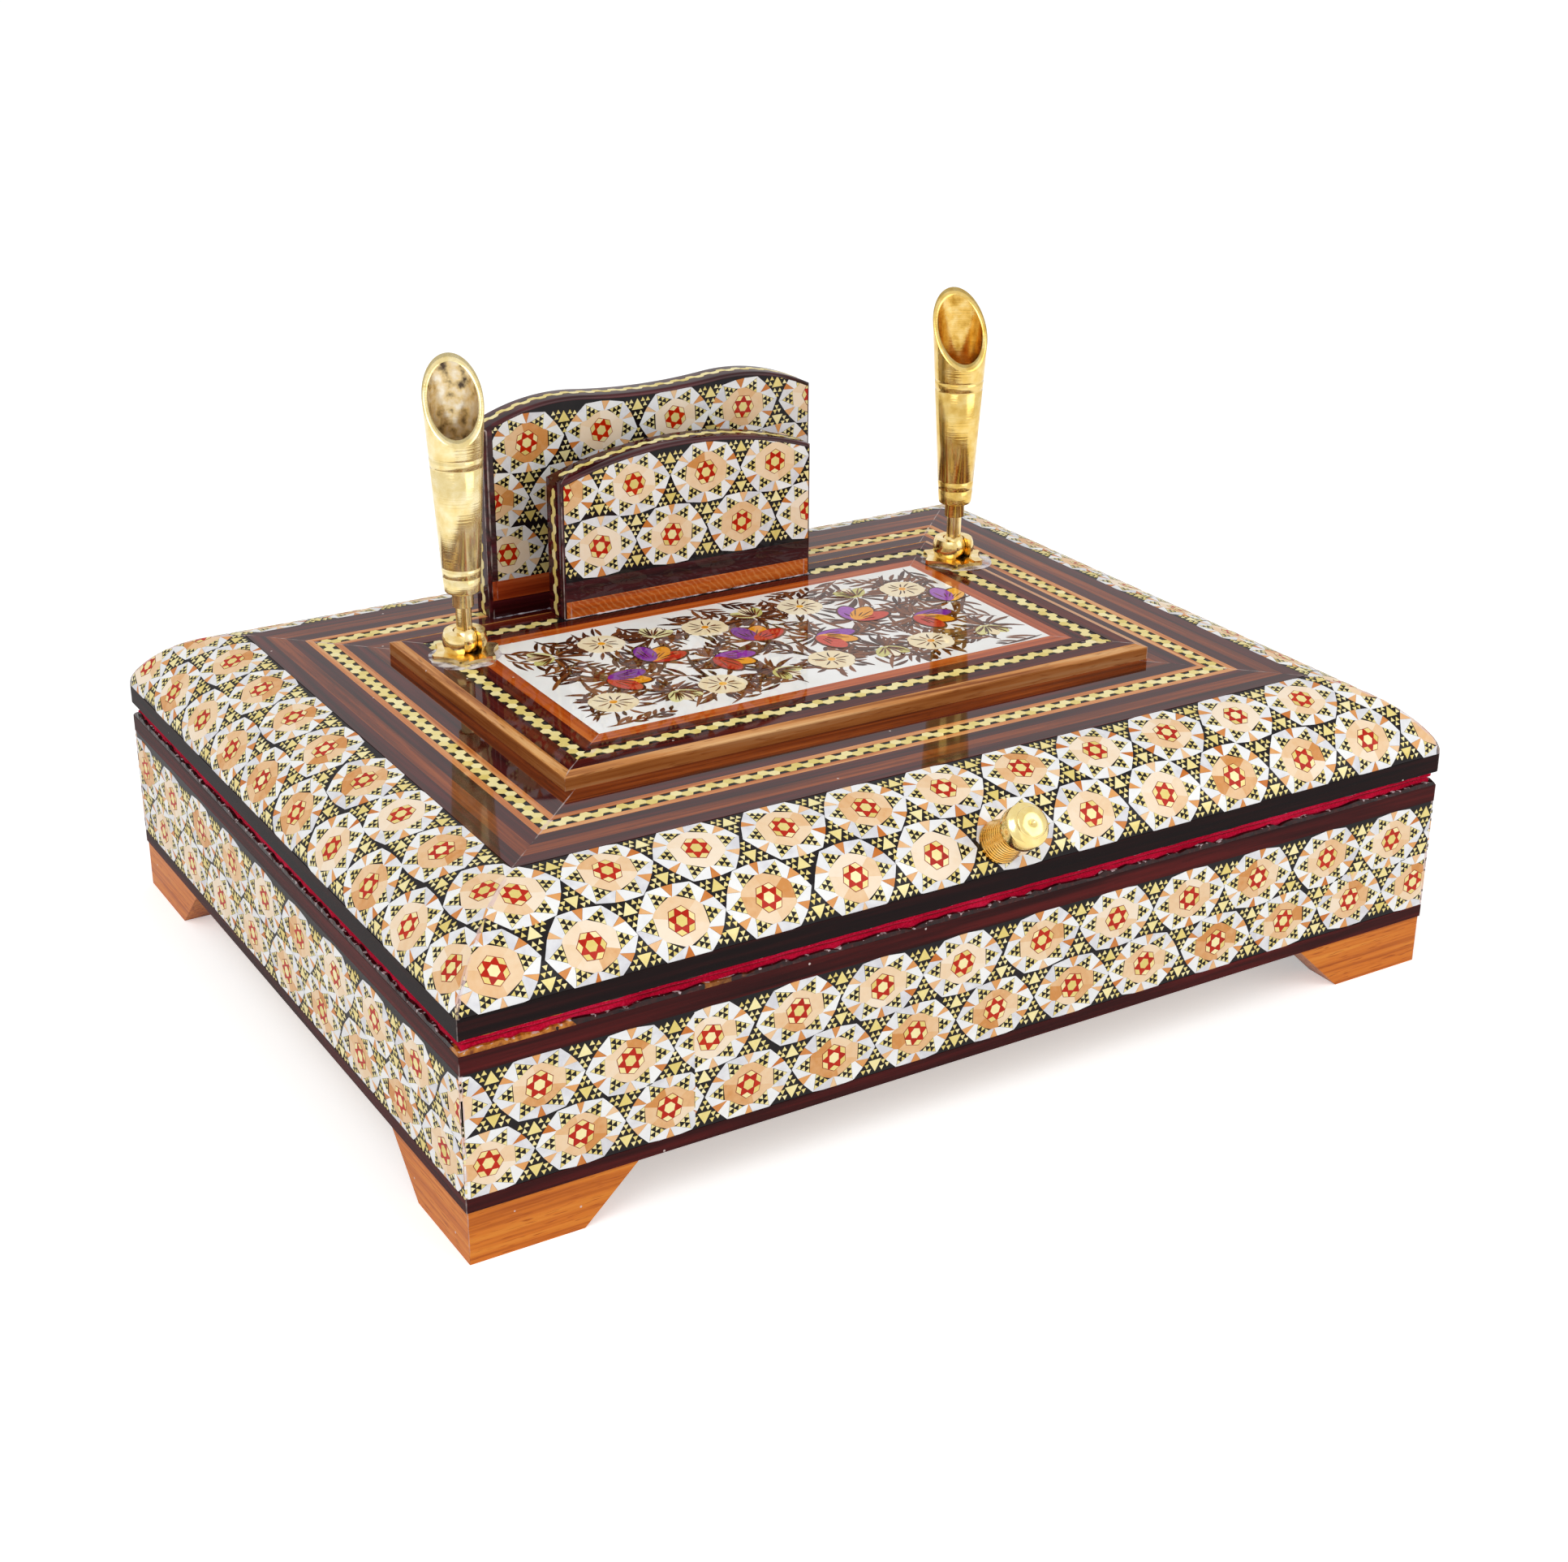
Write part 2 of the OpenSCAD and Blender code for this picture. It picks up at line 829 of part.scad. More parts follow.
module rear_hump(border) {
  meet = rear_hump_centre + (rear_hump_r - border) * rear_meet;
  intersection() {
    translate(rear_hump_centre)
      circle(rear_hump_r - border);
    translate([meet[0], rear_hump_low])
      square([rear_plate_w / 2 - border - meet[0], past]);
  }
}

module rear_outline(border) {
  meet = rear_hump_centre + (rear_hump_r - border) * rear_meet;
  rear_hump(border);
  mirror([1, 0])
    rear_hump(border);
  difference() {
    translate([-meet[0] - plate_t, 0])
      square([2 * (meet[0] + plate_t), meet[1]]);
    translate(rear_dip_centre)
      circle(rear_dip_r + border);
  }
  translate([border - rear_plate_w / 2, 0])
    square([rear_plate_w - 2 * border, rear_hump_low + plate_t]);
}

module front_inlay() {
  intersection() {
    front_outline(plate_border);
    above(front_strip_h + front_dark_h, front_plate_w);
  }
}

module front_strip() {
  translate([plate_border - front_plate_w / 2, 0])
    square([front_plate_w - 2 * plate_border, front_strip_h]);
}

module rear_inlay() {
  intersection() {
    rear_outline(plate_border);
    above(rear_base_h + rear_strip_h, rear_plate_w);
  }
}

module rear_strip() {
  translate([plate_border - rear_plate_w / 2, rear_base_h])
    square([rear_plate_w - 2 * plate_border, rear_strip_h]);
}

module card_front_khatam() {
  color(KHATAM)
    upright(front_plate_y, plinth_z, inlay_t)
      front_inlay();
}

module card_front_strip() {
  color(ORANGE)
    upright(front_plate_y, plinth_z, inlay_t)
      front_strip();
}

module card_front_plate() {
  color(DARK)
    difference() {
      upright(front_plate_y, plinth_z, plate_t)
        front_outline(0);
      upright(front_plate_y - plate_t, plinth_z, plate_t + inlay_t) {
        front_inlay();
        front_strip();
      }
    }
}

module card_rear_khatam() {
  color(KHATAM)
    for (y = [rear_plate_y, rear_plate_y + plate_t - inlay_t])
      upright(y, top_z, inlay_t)
        rear_inlay();
}

module card_rear_strip() {
  color(ORANGE)
    for (y = [rear_plate_y, rear_plate_y + plate_t - inlay_t])
      upright(y, top_z, inlay_t)
        rear_strip();
}

module card_rear_plate() {
  color(DARK)
    difference() {
      upright(rear_plate_y, top_z, plate_t)
        rear_outline(0);
      for (y = [rear_plate_y - plate_t, rear_plate_y + plate_t - inlay_t])
        upright(y, top_z, plate_t + inlay_t) {
          rear_inlay();
          rear_strip();
        }
    }
}

// Pen holders
module at_pen(count) {
  translate([pen_x[count], pen_y, plinth_z])
    children();
}

module flange_plan() {
  points = 6;
  difference() {
    circle(flange_r);
    for (turn = [0:points - 1])
      rotate(turn * 360 / points)
        translate([0, flange_waist_r + flange_hollow_r])
          circle(flange_hollow_r);
  }
}

module pen_base(count) {
  slot_w = 2 * (stem_r + slot_gap);
  color(BRASS)
    at_pen(count)
      difference() {
        union() {
          linear_extrude(flange_t)
            flange_plan();
          intersection() {
            translate([0, 0, ball_z])
              sphere(cup_r);
            cylinder(r = 2 * cup_r, h = cup_h);
          }
        }
        translate([0, 0, ball_z])
          sphere(ball_r + ball_fit);
        translate([0, 0, ball_z])
          cylinder(r = cup_mouth_r, h = 2 * cup_r);
        translate([-slot_w / 2, -2 * flange_r, slot_z])
          cube([slot_w, 2 * flange_r, 2 * cup_h]);
      }
}

module ball_stem(count) {
  color(BRASS)
    at_pen(count) {
      translate([0, 0, ball_z]) {
        sphere(ball_r);
        cylinder(r = stem_r, h = stem_h - ball_z);
      }
      translate([0, 0, ball_z])
        cylinder(r = stem_pin_r, h = stem_h + stem_pin_l - ball_z);
    }
}

// One groove on the funnel's outside, as points of its outline
function groove_points(z) = [
  [funnel_r(z - groove), z - groove],
  [funnel_r(z) - groove, z],
  [funnel_r(z + groove), z + groove]
];

module funnel_profile() {
  low_groove = body_z + groove_inset;
  high_groove = mouth_z - funnel_mouth_r * tan(mouth_slant) - lip_inset;
  blank_top = mouth_z + 2 * funnel_mouth_r;
  socket_z = neck_z + stem_pin_l + funnel_fit;
  socket_r = stem_pin_r + funnel_fit;
  drill_point = pen_bore_r / 2;
  polygon(concat(
    [
      [socket_r, neck_z],
      [neck_r, neck_z],
      [neck_r, body_z],
      [funnel_foot_r - funnel_round, body_z],
      [funnel_r(body_z + funnel_round), body_z + funnel_round]
    ],
    groove_points(low_groove),
    groove_points(low_groove + groove_step),
    groove_points(high_groove),
    groove_points(high_groove + groove_step),
    [
      [funnel_r(blank_top), blank_top],
      [funnel_r(blank_top) - funnel_wall, blank_top],
      [pen_bore_r, bore_top_z],
      [pen_bore_r, bore_floor_z],
      [0, bore_floor_z - drill_point],
      [0, socket_z],
      [socket_r, socket_z]
    ]
  ));
}

module funnel(count) {
  color(BRASS)
    at_pen(count)
      difference() {
        rotate_extrude()
          funnel_profile();
        translate([0, 0, mouth_z])
          rotate([0, 0, -mouth_turn])
            rotate([mouth_slant, 0, 0])
              translate([-past / 2, -past / 2, 0])
                cube(past);
      }
}

module knob() {
  color(BRASS)
    on_knob_axis() {
      rotate_extrude()
        polygon(knob_profile);
      translate([0, 0, -knob_stud_l])
        cylinder(r = knob_stud_r, h = knob_stud_l + knob_foot_h);
    }
}

wall(FRONT);  // front_wall
wall(RIGHT);  // right_wall
wall(BACK);  // back_wall
wall(LEFT);  // left_wall
bottom_panel();
khatam_wall(FRONT);  // khatam_front
khatam_wall(RIGHT);  // khatam_right
khatam_wall(BACK);  // khatam_back
khatam_wall(LEFT);  // khatam_left
upper_edging();
lower_edging();
rim_velvet();
wall_lining();
floor_lining();
foot(0, 0);  // foot_front_left
foot(1, 0);  // foot_front_right
foot(0, 1);  // foot_back_left
foot(1, 1);  // foot_back_right
hinge_box_leaves();
hinge_pins();
lid_front_rail();
rail(RIGHT);  // lid_right_rail
rail(BACK);  // lid_back_rail
rail(LEFT);  // lid_left_rail
lid_panel();
khatam_lid_front();
khatam_lid(RIGHT);  // khatam_lid_right
khatam_lid(BACK);  // khatam_lid_back
khatam_lid(LEFT);  // khatam_lid_left
lid_edging();
top_dark_bands();
top_brown_bands();
top_orange_lines();
top_braid();
lid_rim_velvet();
lid_lining();
hinge_lid_leaves();
plinth_board();
plinth_lipping();
plinth_dark_bands();
plinth_zigzag();
picture_frame();
picture_panel();
card_front_plate();
card_front_khatam();
card_front_strip();
card_rear_plate();
card_rear_khatam();
card_rear_strip();
pen_base(0);  // left_pen_base
pen_base(1);  // right_pen_base
ball_stem(0);  // left_ball_stem
ball_stem(1);  // right_ball_stem
funnel(0);  // left_funnel
funnel(1);  // right_funnel
knob();
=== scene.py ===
# %% [markdown]
# # A star-mosaic desk box with two pen funnels
#
# The real object is a small wooden chest. Strips of star mosaic cover its walls and the swelling edge of
# its lid. On the lid stand a plinth with a painted panel, two upright plates that hold cards, and two
# brass pen funnels. The solids come from the CAD model as a fixed frame, so this lesson adds only what
# the eye needs: the mosaic chips, the gold braids, the painting, the cloth, the finishes, the light and
# the camera.

# %% Load the frame
import math
import bpy
import numpy as np
from mathutils import Matrix, Vector


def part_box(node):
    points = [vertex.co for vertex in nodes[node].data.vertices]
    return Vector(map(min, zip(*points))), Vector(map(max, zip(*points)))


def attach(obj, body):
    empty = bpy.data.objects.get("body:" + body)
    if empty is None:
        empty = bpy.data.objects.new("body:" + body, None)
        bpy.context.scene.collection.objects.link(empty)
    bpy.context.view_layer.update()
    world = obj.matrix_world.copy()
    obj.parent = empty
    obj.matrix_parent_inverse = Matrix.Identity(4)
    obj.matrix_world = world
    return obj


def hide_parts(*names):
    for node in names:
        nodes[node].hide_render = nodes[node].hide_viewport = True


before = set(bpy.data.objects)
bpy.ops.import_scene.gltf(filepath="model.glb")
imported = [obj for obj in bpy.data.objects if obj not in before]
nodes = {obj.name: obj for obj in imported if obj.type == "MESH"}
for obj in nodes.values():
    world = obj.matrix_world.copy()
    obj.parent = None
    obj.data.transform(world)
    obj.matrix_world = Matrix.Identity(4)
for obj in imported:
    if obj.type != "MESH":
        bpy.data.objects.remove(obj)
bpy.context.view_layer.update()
MM = 0.001


def box_mm(name):
    """The node's lowest and highest corner in millimetres."""
    low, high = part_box(name)
    return np.array(low) / MM, np.array(high) / MM


# %% [markdown]
# ## Camera
# The photographer stood to the left of the front and looked down on the lid. The camera's place was found
# by setting the corners of the box on the corners in the picture, and its turn is three plain angles:
# round the object, down, and a slight roll.

# %% Camera
CAMERA_AT = (-278.6, -462.95, 276.8)
CAMERA_ROUND, CAMERA_DOWN, CAMERA_ROLL = (math.radians(a) for a in (31.32, 23.73, 0.412))
camera_data = bpy.data.cameras.new("camera")
camera_data.lens = 55.96
camera_data.sensor_width = 36.0
camera_data.sensor_fit = "HORIZONTAL"
camera = bpy.data.objects.new("camera", camera_data)
camera.matrix_world = (
    Matrix.Translation([c * MM for c in CAMERA_AT])
    @ Matrix.Rotation(-CAMERA_ROUND, 4, "Z")
    @ Matrix.Rotation(math.pi / 2 - CAMERA_DOWN, 4, "X")
    @ Matrix.Rotation(CAMERA_ROLL, 4, "Z")
)
bpy.context.collection.objects.link(camera)
bpy.context.scene.camera = camera
print("camera stands", round(np.linalg.norm(CAMERA_AT)), "mm from the floor under the middle of the box")

# %% [markdown]
# ## Nodes by hand
# Materials are graphs of nodes. Helpers keep the cells that follow short: one adds a node and fills or
# links its inputs, one starts a material, one starts a node group with named sockets, and small ones add
# what comes back often.

# %% Helpers for node graphs
def srgb(code):
    """Linear RGBA of a hex colour: each channel c becomes ((c + 0.055) / 1.055) ** 2.4."""
    channels = np.array([int(code[i:i + 2], 16) for i in (1, 3, 5)]) / 255
    return (*(((channels + 0.055) / 1.055) ** 2.4).tolist(), 1.0)


def put(tree, kind, inputs=None, **settings):
    """Adds a shader node. An input that is a socket is linked, and any other value is stored."""
    node = tree.nodes.new("ShaderNode" + kind)
    for name, value in settings.items():
        setattr(node, name, value)
    for key, value in (inputs or {}).items():
        if isinstance(value, bpy.types.NodeSocket):
            tree.links.new(value, node.inputs[key])
        else:
            node.inputs[key].default_value = value
    return node


def maths(tree, operation, *values):
    """One Math node; returns its output."""
    return put(tree, "Math", dict(enumerate(values)), operation=operation).outputs[0]


def ramp(tree, factor, *stops):
    """A colour ramp through (place, hex colour) stops; returns its colour."""
    node = put(tree, "ValToRGB", {"Fac": factor})
    marks = node.color_ramp.elements
    while len(marks) < len(stops):
        marks.new(0.5)
    for mark, (place, code) in zip(marks, stops):
        mark.position = place
        mark.color = srgb(code)
    return node.outputs["Color"]


def blend(tree, factor, first, second):
    """Mixes two colours by a factor; returns the colour."""
    node = put(tree, "Mix", {0: factor, 6: first, 7: second}, data_type="RGBA")
    return node.outputs[2]


def material(name, **values):
    """A node material; values go to the Principled shader's own sockets, with _ for a space in the name."""
    made = bpy.data.materials.new(name)
    made.use_nodes = True
    shader = made.node_tree.nodes["Principled BSDF"]
    for key, value in values.items():
        shader.inputs[key.replace("_", " ")].default_value = value
    return made, made.node_tree, shader


def group(name, inputs, outputs):
    """A node group with float inputs, given with their defaults, and float outputs."""
    tree = bpy.data.node_groups.new(name, "ShaderNodeTree")
    for key, value in inputs.items():
        socket = tree.interface.new_socket(name=key, in_out="INPUT", socket_type="NodeSocketFloat")
        socket.default_value = value
    for key in outputs:
        tree.interface.new_socket(name=key, in_out="OUTPUT", socket_type="NodeSocketFloat")
    return tree, tree.nodes.new("NodeGroupInput").outputs, tree.nodes.new("NodeGroupOutput").inputs


def use(tree, grouped, **values):
    """Places a node group in a material; returns its outputs."""
    node = tree.nodes.new("ShaderNodeGroup")
    node.node_tree = grouped
    for key, value in values.items():
        node.inputs[key.replace("_", " ")].default_value = value
    return node.outputs


def object_place(tree):
    """The object coordinates as one vector output."""
    return put(tree, "TexCoord").outputs["Object"]


def object_xyz(tree):
    """The three object coordinates as separate outputs."""
    return put(tree, "SeparateXYZ", {0: object_place(tree)}).outputs


def noise(tree, scale, detail):
    """Noise on the object coordinates, with that many steps per metre; returns its value."""
    node = put(tree, "TexNoise", {"Vector": object_place(tree), "Scale": scale, "Detail": detail})
    return node.outputs["Fac"]


def tint_of(tree):
    """The number that each point of a mesh carries as its tint."""
    return put(tree, "Attribute", attribute_name="tint").outputs["Fac"]


def spread_out(tree, value, low, high, **ends):
    """A value mapped from low and high to zero and one, or to other ends; returns the output."""
    ends = {key.replace("_", " "): end for key, end in ends.items()}
    return put(tree, "MapRange", {"Value": value, "From Min": low, "From Max": high, **ends}).outputs[0]


def colour_in(tree, shader, colour):
    """Links a colour to the shader."""
    tree.links.new(colour, shader.inputs["Base Color"])


def bump_in(tree, shader, height, strength, distance, invert=False):
    """Links a bump of that height to the shader."""
    node = put(tree, "Bump", {"Height": height, "Strength": strength, "Distance": distance}, invert=invert)
    tree.links.new(node.outputs[0], shader.inputs["Normal"])


def seen_rays(tree):
    """One for rays from the camera, off a mirror or through glass; zero for those that only bring light."""
    rays = put(tree, "LightPath").outputs
    mirrored = maths(tree, "MAXIMUM", rays["Is Glossy Ray"], rays["Is Transmission Ray"])
    return maths(tree, "MAXIMUM", rays["Is Camera Ray"], mirrored)


print("node helpers ready")

# %% [markdown]
# ## Light and floor
# The object was lit in a white tent. The world is white where it is seen or mirrored, and a little dimmer
# as a light, so that two soft lamps can shape the brass. The floor is matt white and keeps the object's
# shadow; a faint glow, which is seen but lights nothing, lifts it to paper white.

# %% World, floor and lamps
WORLD_LEVEL = 0.66
FLOOR_GLOW = 0.42
FLOOR_HALF = 4.0     # metres
WHITE = (1, 1, 1, 1)
LAMPS_AIM = Vector((0, 0, 0.06))

world = bpy.data.worlds.new("white tent")
bpy.context.scene.world = world
world.use_nodes = True
sky = world.node_tree
level = spread_out(sky, seen_rays(sky), 0.0, 1.0, To_Min=WORLD_LEVEL)
sky.links.new(level, sky.nodes["Background"].inputs["Strength"])
sky.nodes["Background"].inputs["Color"].default_value = WHITE

floor_mesh = bpy.data.meshes.new("floor")
corners = np.array([[-1, -1, 0], [1, -1, 0], [1, 1, 0], [-1, 1, 0]]) * FLOOR_HALF
floor_mesh.from_pydata(corners.tolist(), [], [(0, 1, 2, 3)])
floor = bpy.data.objects.new("floor", floor_mesh)
bpy.context.collection.objects.link(floor)
paper, tree, shader = material("matt white paper", Base_Color=(0.9, 0.9, 0.9, 1), Roughness=1.0,
                               Specular_IOR_Level=0.0, Emission_Color=WHITE)
tree.links.new(maths(tree, "MULTIPLY", seen_rays(tree), FLOOR_GLOW), shader.inputs["Emission Strength"])
floor_mesh.materials.append(paper)


def lamp(name, place, size, power):
    """A square soft lamp that looks at the middle of the box."""
    data = bpy.data.lights.new(name, "AREA")
    data.size = size
    data.energy = power
    made = bpy.data.objects.new(name, data)
    aim = Vector(place) - LAMPS_AIM
    made.matrix_world = Matrix.Translation(place) @ aim.to_track_quat("Z", "Y").to_matrix().to_4x4()
    bpy.context.collection.objects.link(made)


lamp("key lamp", (-0.95, -0.62, 1.18), 0.9, 7.8)
lamp("fill lamp", (0.7, -1.1, 0.7), 1.0, 4.4)
bpy.context.scene.view_settings.view_transform = "Standard"
print("light: world", WORLD_LEVEL, "and two lamps")

# %% [markdown]
# ## Meshes from arrays
# Every new piece is a block of numpy arrays: points, faces, and one finish number per face. Most pieces
# are tubes through rings of points, and each ring is walked the way that turns the faces outwards.

# %% Mesh builder
def piece(name, points, faces, finishes, body, numbers=None, flat_uv=None, tint=None, normals=None,
          replaces=()):
    """Makes an object from points in millimetres, faces as index lists and one material per number."""
    mesh = bpy.data.meshes.new(name)
    mesh.from_pydata((np.asarray(points) * MM).tolist(), [], faces)
    for finish in finishes:
        mesh.materials.append(finish)
    if numbers is not None:
        mesh.polygons.foreach_set("material_index", np.asarray(numbers, dtype=np.int32))
    if tint is not None:
        mesh.attributes.new("tint", "FLOAT", "POINT").data.foreach_set("value", tint.astype(np.float32))
    if flat_uv is not None:
        ends = np.empty(len(mesh.loops), dtype=np.int32)
        mesh.loops.foreach_get("vertex_index", ends)
        layer = mesh.uv_layers.new(name="OFBake")
        layer.data.foreach_set("uv", flat_uv[ends].astype(np.float32).ravel())
    if normals is not None:
        mesh.shade_smooth()
        mesh.normals_split_custom_set_from_vertices(normals.tolist())
    made = bpy.data.objects.new(name, mesh)
    bpy.context.collection.objects.link(made)
    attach(made, body)
    if replaces:
        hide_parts(*replaces)
    return made


def tube(rings):
    """Points and faces of a closed tube through rings of points: quads, and a cap on each end."""
    count, around = rings.shape[:2]
    grid = np.arange(count * around).reshape(count, around)
    ahead = np.roll(grid, -1, 1)
    sides = np.stack([grid[:-1], ahead[:-1], ahead[1:], grid[1:]], -1).reshape(-1, 4)
    return rings.reshape(-1, 3), sides.tolist() + [grid[0, ::-1].tolist(), grid[-1].tolist()]


def closed_ring(rings):
    """Points and faces of a tube through rings of points whose last ring runs on into the first."""
    grid = np.arange(rings.shape[0] * rings.shape[1]).reshape(rings.shape[:2])
    across = np.roll(grid, -1, 1)
    faces = np.stack([grid, across, np.roll(across, -1, 0), np.roll(grid, -1, 0)], -1).reshape(-1, 4)
    return rings.reshape(-1, 3), faces.tolist()


print("mesh builder ready")

# %% [markdown]
# ## The mosaic star
# The mosaic is sliced from a bundle of glued rods. Each star has a hexagonal core of brass and red wood,
# a ring of pale wood, six three-sided rods of brass and ebony, and a rim of bone with small orange
# wedges. The stars touch, and brass triangles fill the black gaps. A texture could fake this, but chips
# cut as real polygons stay crisp at any distance, so one star is worked out here as an array of polygons
# on the flat.

# %% One star as polygons
CORE_R = 3.25      # corner radius of the hexagonal core
RING_OVER = 1.1    # how far the ring of pale wood runs on under the rods and the bone
ROD_SIDE = 3.75    # side of a brass and ebony rod
HOLE_SIDE = 3.15   # side of the large brass triangle between stars
DOT_SIDE = 1.14    # side of a small brass triangle between stars
DOTS_OUT = 2.3     # from the middle of a gap to the middle of three small triangles
SPOKE_END = 0.9    # how far out the rods' tips lie, as a share of the star's half size
RING_REACH = 0.6   # the same for the corners of the ring of pale wood
SIDE_REACH = 0.9   # the same for the middles of the star's sides
CORNERS = 6        # corners kept for each polygon; a polygon with fewer repeats its last one
TONE_SPREAD = 0.12                   # how far the tones of like chips differ
STAR_TURN, SPOKE_TURN = 0.05, 0.02   # errors of the hand in the turn of a star and of its spokes, radians
RING_ERROR = 0.012                   # and in how far out the ring's corners lie
AMBER_TURN = (0.09, 0.15)            # half the angle that an amber wedge takes up, at least and at most
EBONY, BONE, BLOND, AMBER, RED, BRASS_CHIP = range(6)
SIXTHS = np.arange(6) * math.pi / 3
rng = np.random.default_rng(41)


def polar(radius, angle):
    """Points at a radius and an angle."""
    return np.stack([radius * np.cos(angle), radius * np.sin(angle)], -1)


def pad(corners, wide):
    """Repeats each polygon's last corner until it has that many."""
    return np.concatenate([corners, np.repeat(corners[:, -1:], wide - corners.shape[1], 1)], 1)


def polygons(corners, kind, level, shrink=1.0, tone=None):
    """Walks each polygon anticlockwise, shrinks it towards its middle, and pads it to CORNERS corners."""
    corners = np.asarray(corners, dtype=float)
    middle = corners.mean(1, keepdims=True)
    corners = middle + (corners - middle) * shrink
    ahead = np.roll(corners, -1, 1)
    backwards = (corners[..., 0] * ahead[..., 1] - corners[..., 1] * ahead[..., 0]).sum(1) < 0
    corners[backwards] = corners[backwards][:, ::-1]
    count = len(corners)
    tone = rng.random(count) if tone is None else np.clip(tone + rng.normal(0, TONE_SPREAD, count), 0, 1)
    return pad(corners, CORNERS), np.full(count, kind), np.full(count, level), tone


def join(*sets):
    """Puts several sets of polygons together."""
    return tuple(np.concatenate(part) for part in zip(*sets))


def split_rod(a, b, c):
    """The six upright triangles of a triangle cut in nine, with corners at (i a + j b + k c) / 3."""
    steps = np.array([[2, 0, 0], [0, 2, 0], [0, 0, 2], [1, 1, 0], [1, 0, 1], [0, 1, 1]])
    weights = (steps[:, None, :] + np.eye(3)[None]) / 3
    return np.einsum("sck,rkd->rscd", weights, np.stack([a, b, c], 1)).reshape(-1, 3, 2)


def star(half_w, half_h):
    """One star about its own middle: a hexagon with corners at (half_w cos, half_h sin) of each sixth
    turn and slightly bulging sides. Rods stand on its six spokes, with bone and amber between them."""
    def rim(angle, reach=1.0):
        return np.stack([half_w * np.cos(angle), half_h * np.sin(angle)], -1) * np.asarray(reach)[..., None]

    spoke = SIXTHS + rng.normal(0, STAR_TURN) + rng.normal(0, SPOKE_TURN, 6)
    between = spoke + math.pi / 6
    bulge = SIDE_REACH + 0.025 * np.abs(np.sin(between))
    tip = rim(spoke, SPOKE_END + 0.05 * np.abs(np.sin(spoke)))
    corner = rim(between, RING_REACH + rng.normal(0, RING_ERROR, 6))
    along = tip / np.linalg.norm(tip, axis=1, keepdims=True)
    across = np.stack([-along[:, 1], along[:, 0]], -1) * ROD_SIDE / 2
    foot = tip - along * ROD_SIDE * math.sqrt(3) / 2
    left, right = foot + across, foot - across
    wedge = rng.uniform(*AMBER_TURN, 6)
    early, late = rim(between - wedge, bulge), rim(between + wedge, bulge)
    edge = rim(spoke)
    ahead = lambda points: np.roll(points, -1, 0)
    turn = corner + 0.2 * (ahead(corner) - corner)
    core = polar(CORE_R / 2, SIXTHS + rng.uniform(0, math.pi / 3))
    point = core + ahead(core)
    wood = rng.uniform(0.0, 0.85)
    middle = np.zeros((6, 2))
    return join(
        polygons(np.stack([middle, turn, ahead(corner), ahead(turn)], 1) * RING_OVER, BLOND, -0.5, 1.0,
                 wood + rng.normal(0, 0.2, 6)),
        polygons(np.stack([corner, early, edge, tip, left], 1), BONE, 0, 0.985),
        polygons(np.stack([corner, ahead(right), ahead(tip), ahead(edge), late], 1), BONE, 0, 0.985),
        polygons(np.stack([corner, early, late], 1), AMBER, 1, 0.97),
        polygons(np.stack([tip, left, right], 1), EBONY, 1, 0.99),
        polygons(split_rod(tip, left, right), BRASS_CHIP, 2, 0.84),
        polygons((2 * core)[None], EBONY, 0.5),
        polygons((2 * core)[None], RED, 1, 0.98, 0.5),
        polygons(core[None], BRASS_CHIP, 2, 0.8),
        polygons(np.stack([core, point, ahead(core)], 1), RED, 1.5, 0.97, 0.5),
        polygons(np.stack([core, point, 2 * core, np.roll(point, 1, 0)], 1), BRASS_CHIP, 2, 0.8),
    )


def filler(up):
    """The brass in the gap between three stars: a large triangle, and three small ones at each corner."""
    triangle = polar(1 / math.sqrt(3), np.radians([90, 210, 330])) * [1, up]
    lean = np.radians([-90, 21, 159]) + rng.normal(0, 0.06, 3)
    reach = polar(DOTS_OUT, lean) * [1, up]
    out = reach / np.linalg.norm(reach, axis=1, keepdims=True)
    over = np.stack([-out[:, 1], out[:, 0]], -1) * 0.68
    inner = reach - 0.35 * out
    dots = np.concatenate([reach + 0.85 * out, inner + over, inner - over])
    dots = dots + rng.normal(0, 0.05, dots.shape)
    return join(
        polygons(triangle[None] * HOLE_SIDE, BRASS_CHIP, 2),
        polygons(dots[:, None] + triangle[None] * DOT_SIDE, BRASS_CHIP, 2),
    )


print("one star:", len(star(9.9, 7.1)[1]), "chips; one gap:", len(filler(1)[1]))

# %% [markdown]
# ## Tiling and trimming
# Stars stand in rows, each row half a step on from the one below. The strip is then trimmed like real
# veneer: an edge is a function that is positive inside, and every polygon is cut where that function
# passes zero. All polygons are cut at once as one array.

# %% Tile a strip and trim it
def tile(rows, length, row_step):
    """Stars and fillers for rows of (height, first centre, pitch) over a length."""
    sets = []
    for height, first, pitch in rows:
        for count in range(math.floor(-first / pitch) - 1, math.ceil((length - first) / pitch) + 1):
            middle = np.array([first + count * pitch, height]) + rng.normal(0, 0.16, 2)
            stars = star(pitch / 2, row_step / math.sqrt(3))
            sets.append((stars[0] + middle, *stars[1:]))
            for up in (1, -1):
                gap = filler(up)
                sets.append((gap[0] + middle + [pitch / 2, up * row_step / 3], *gap[1:]))
    return join(*sets)


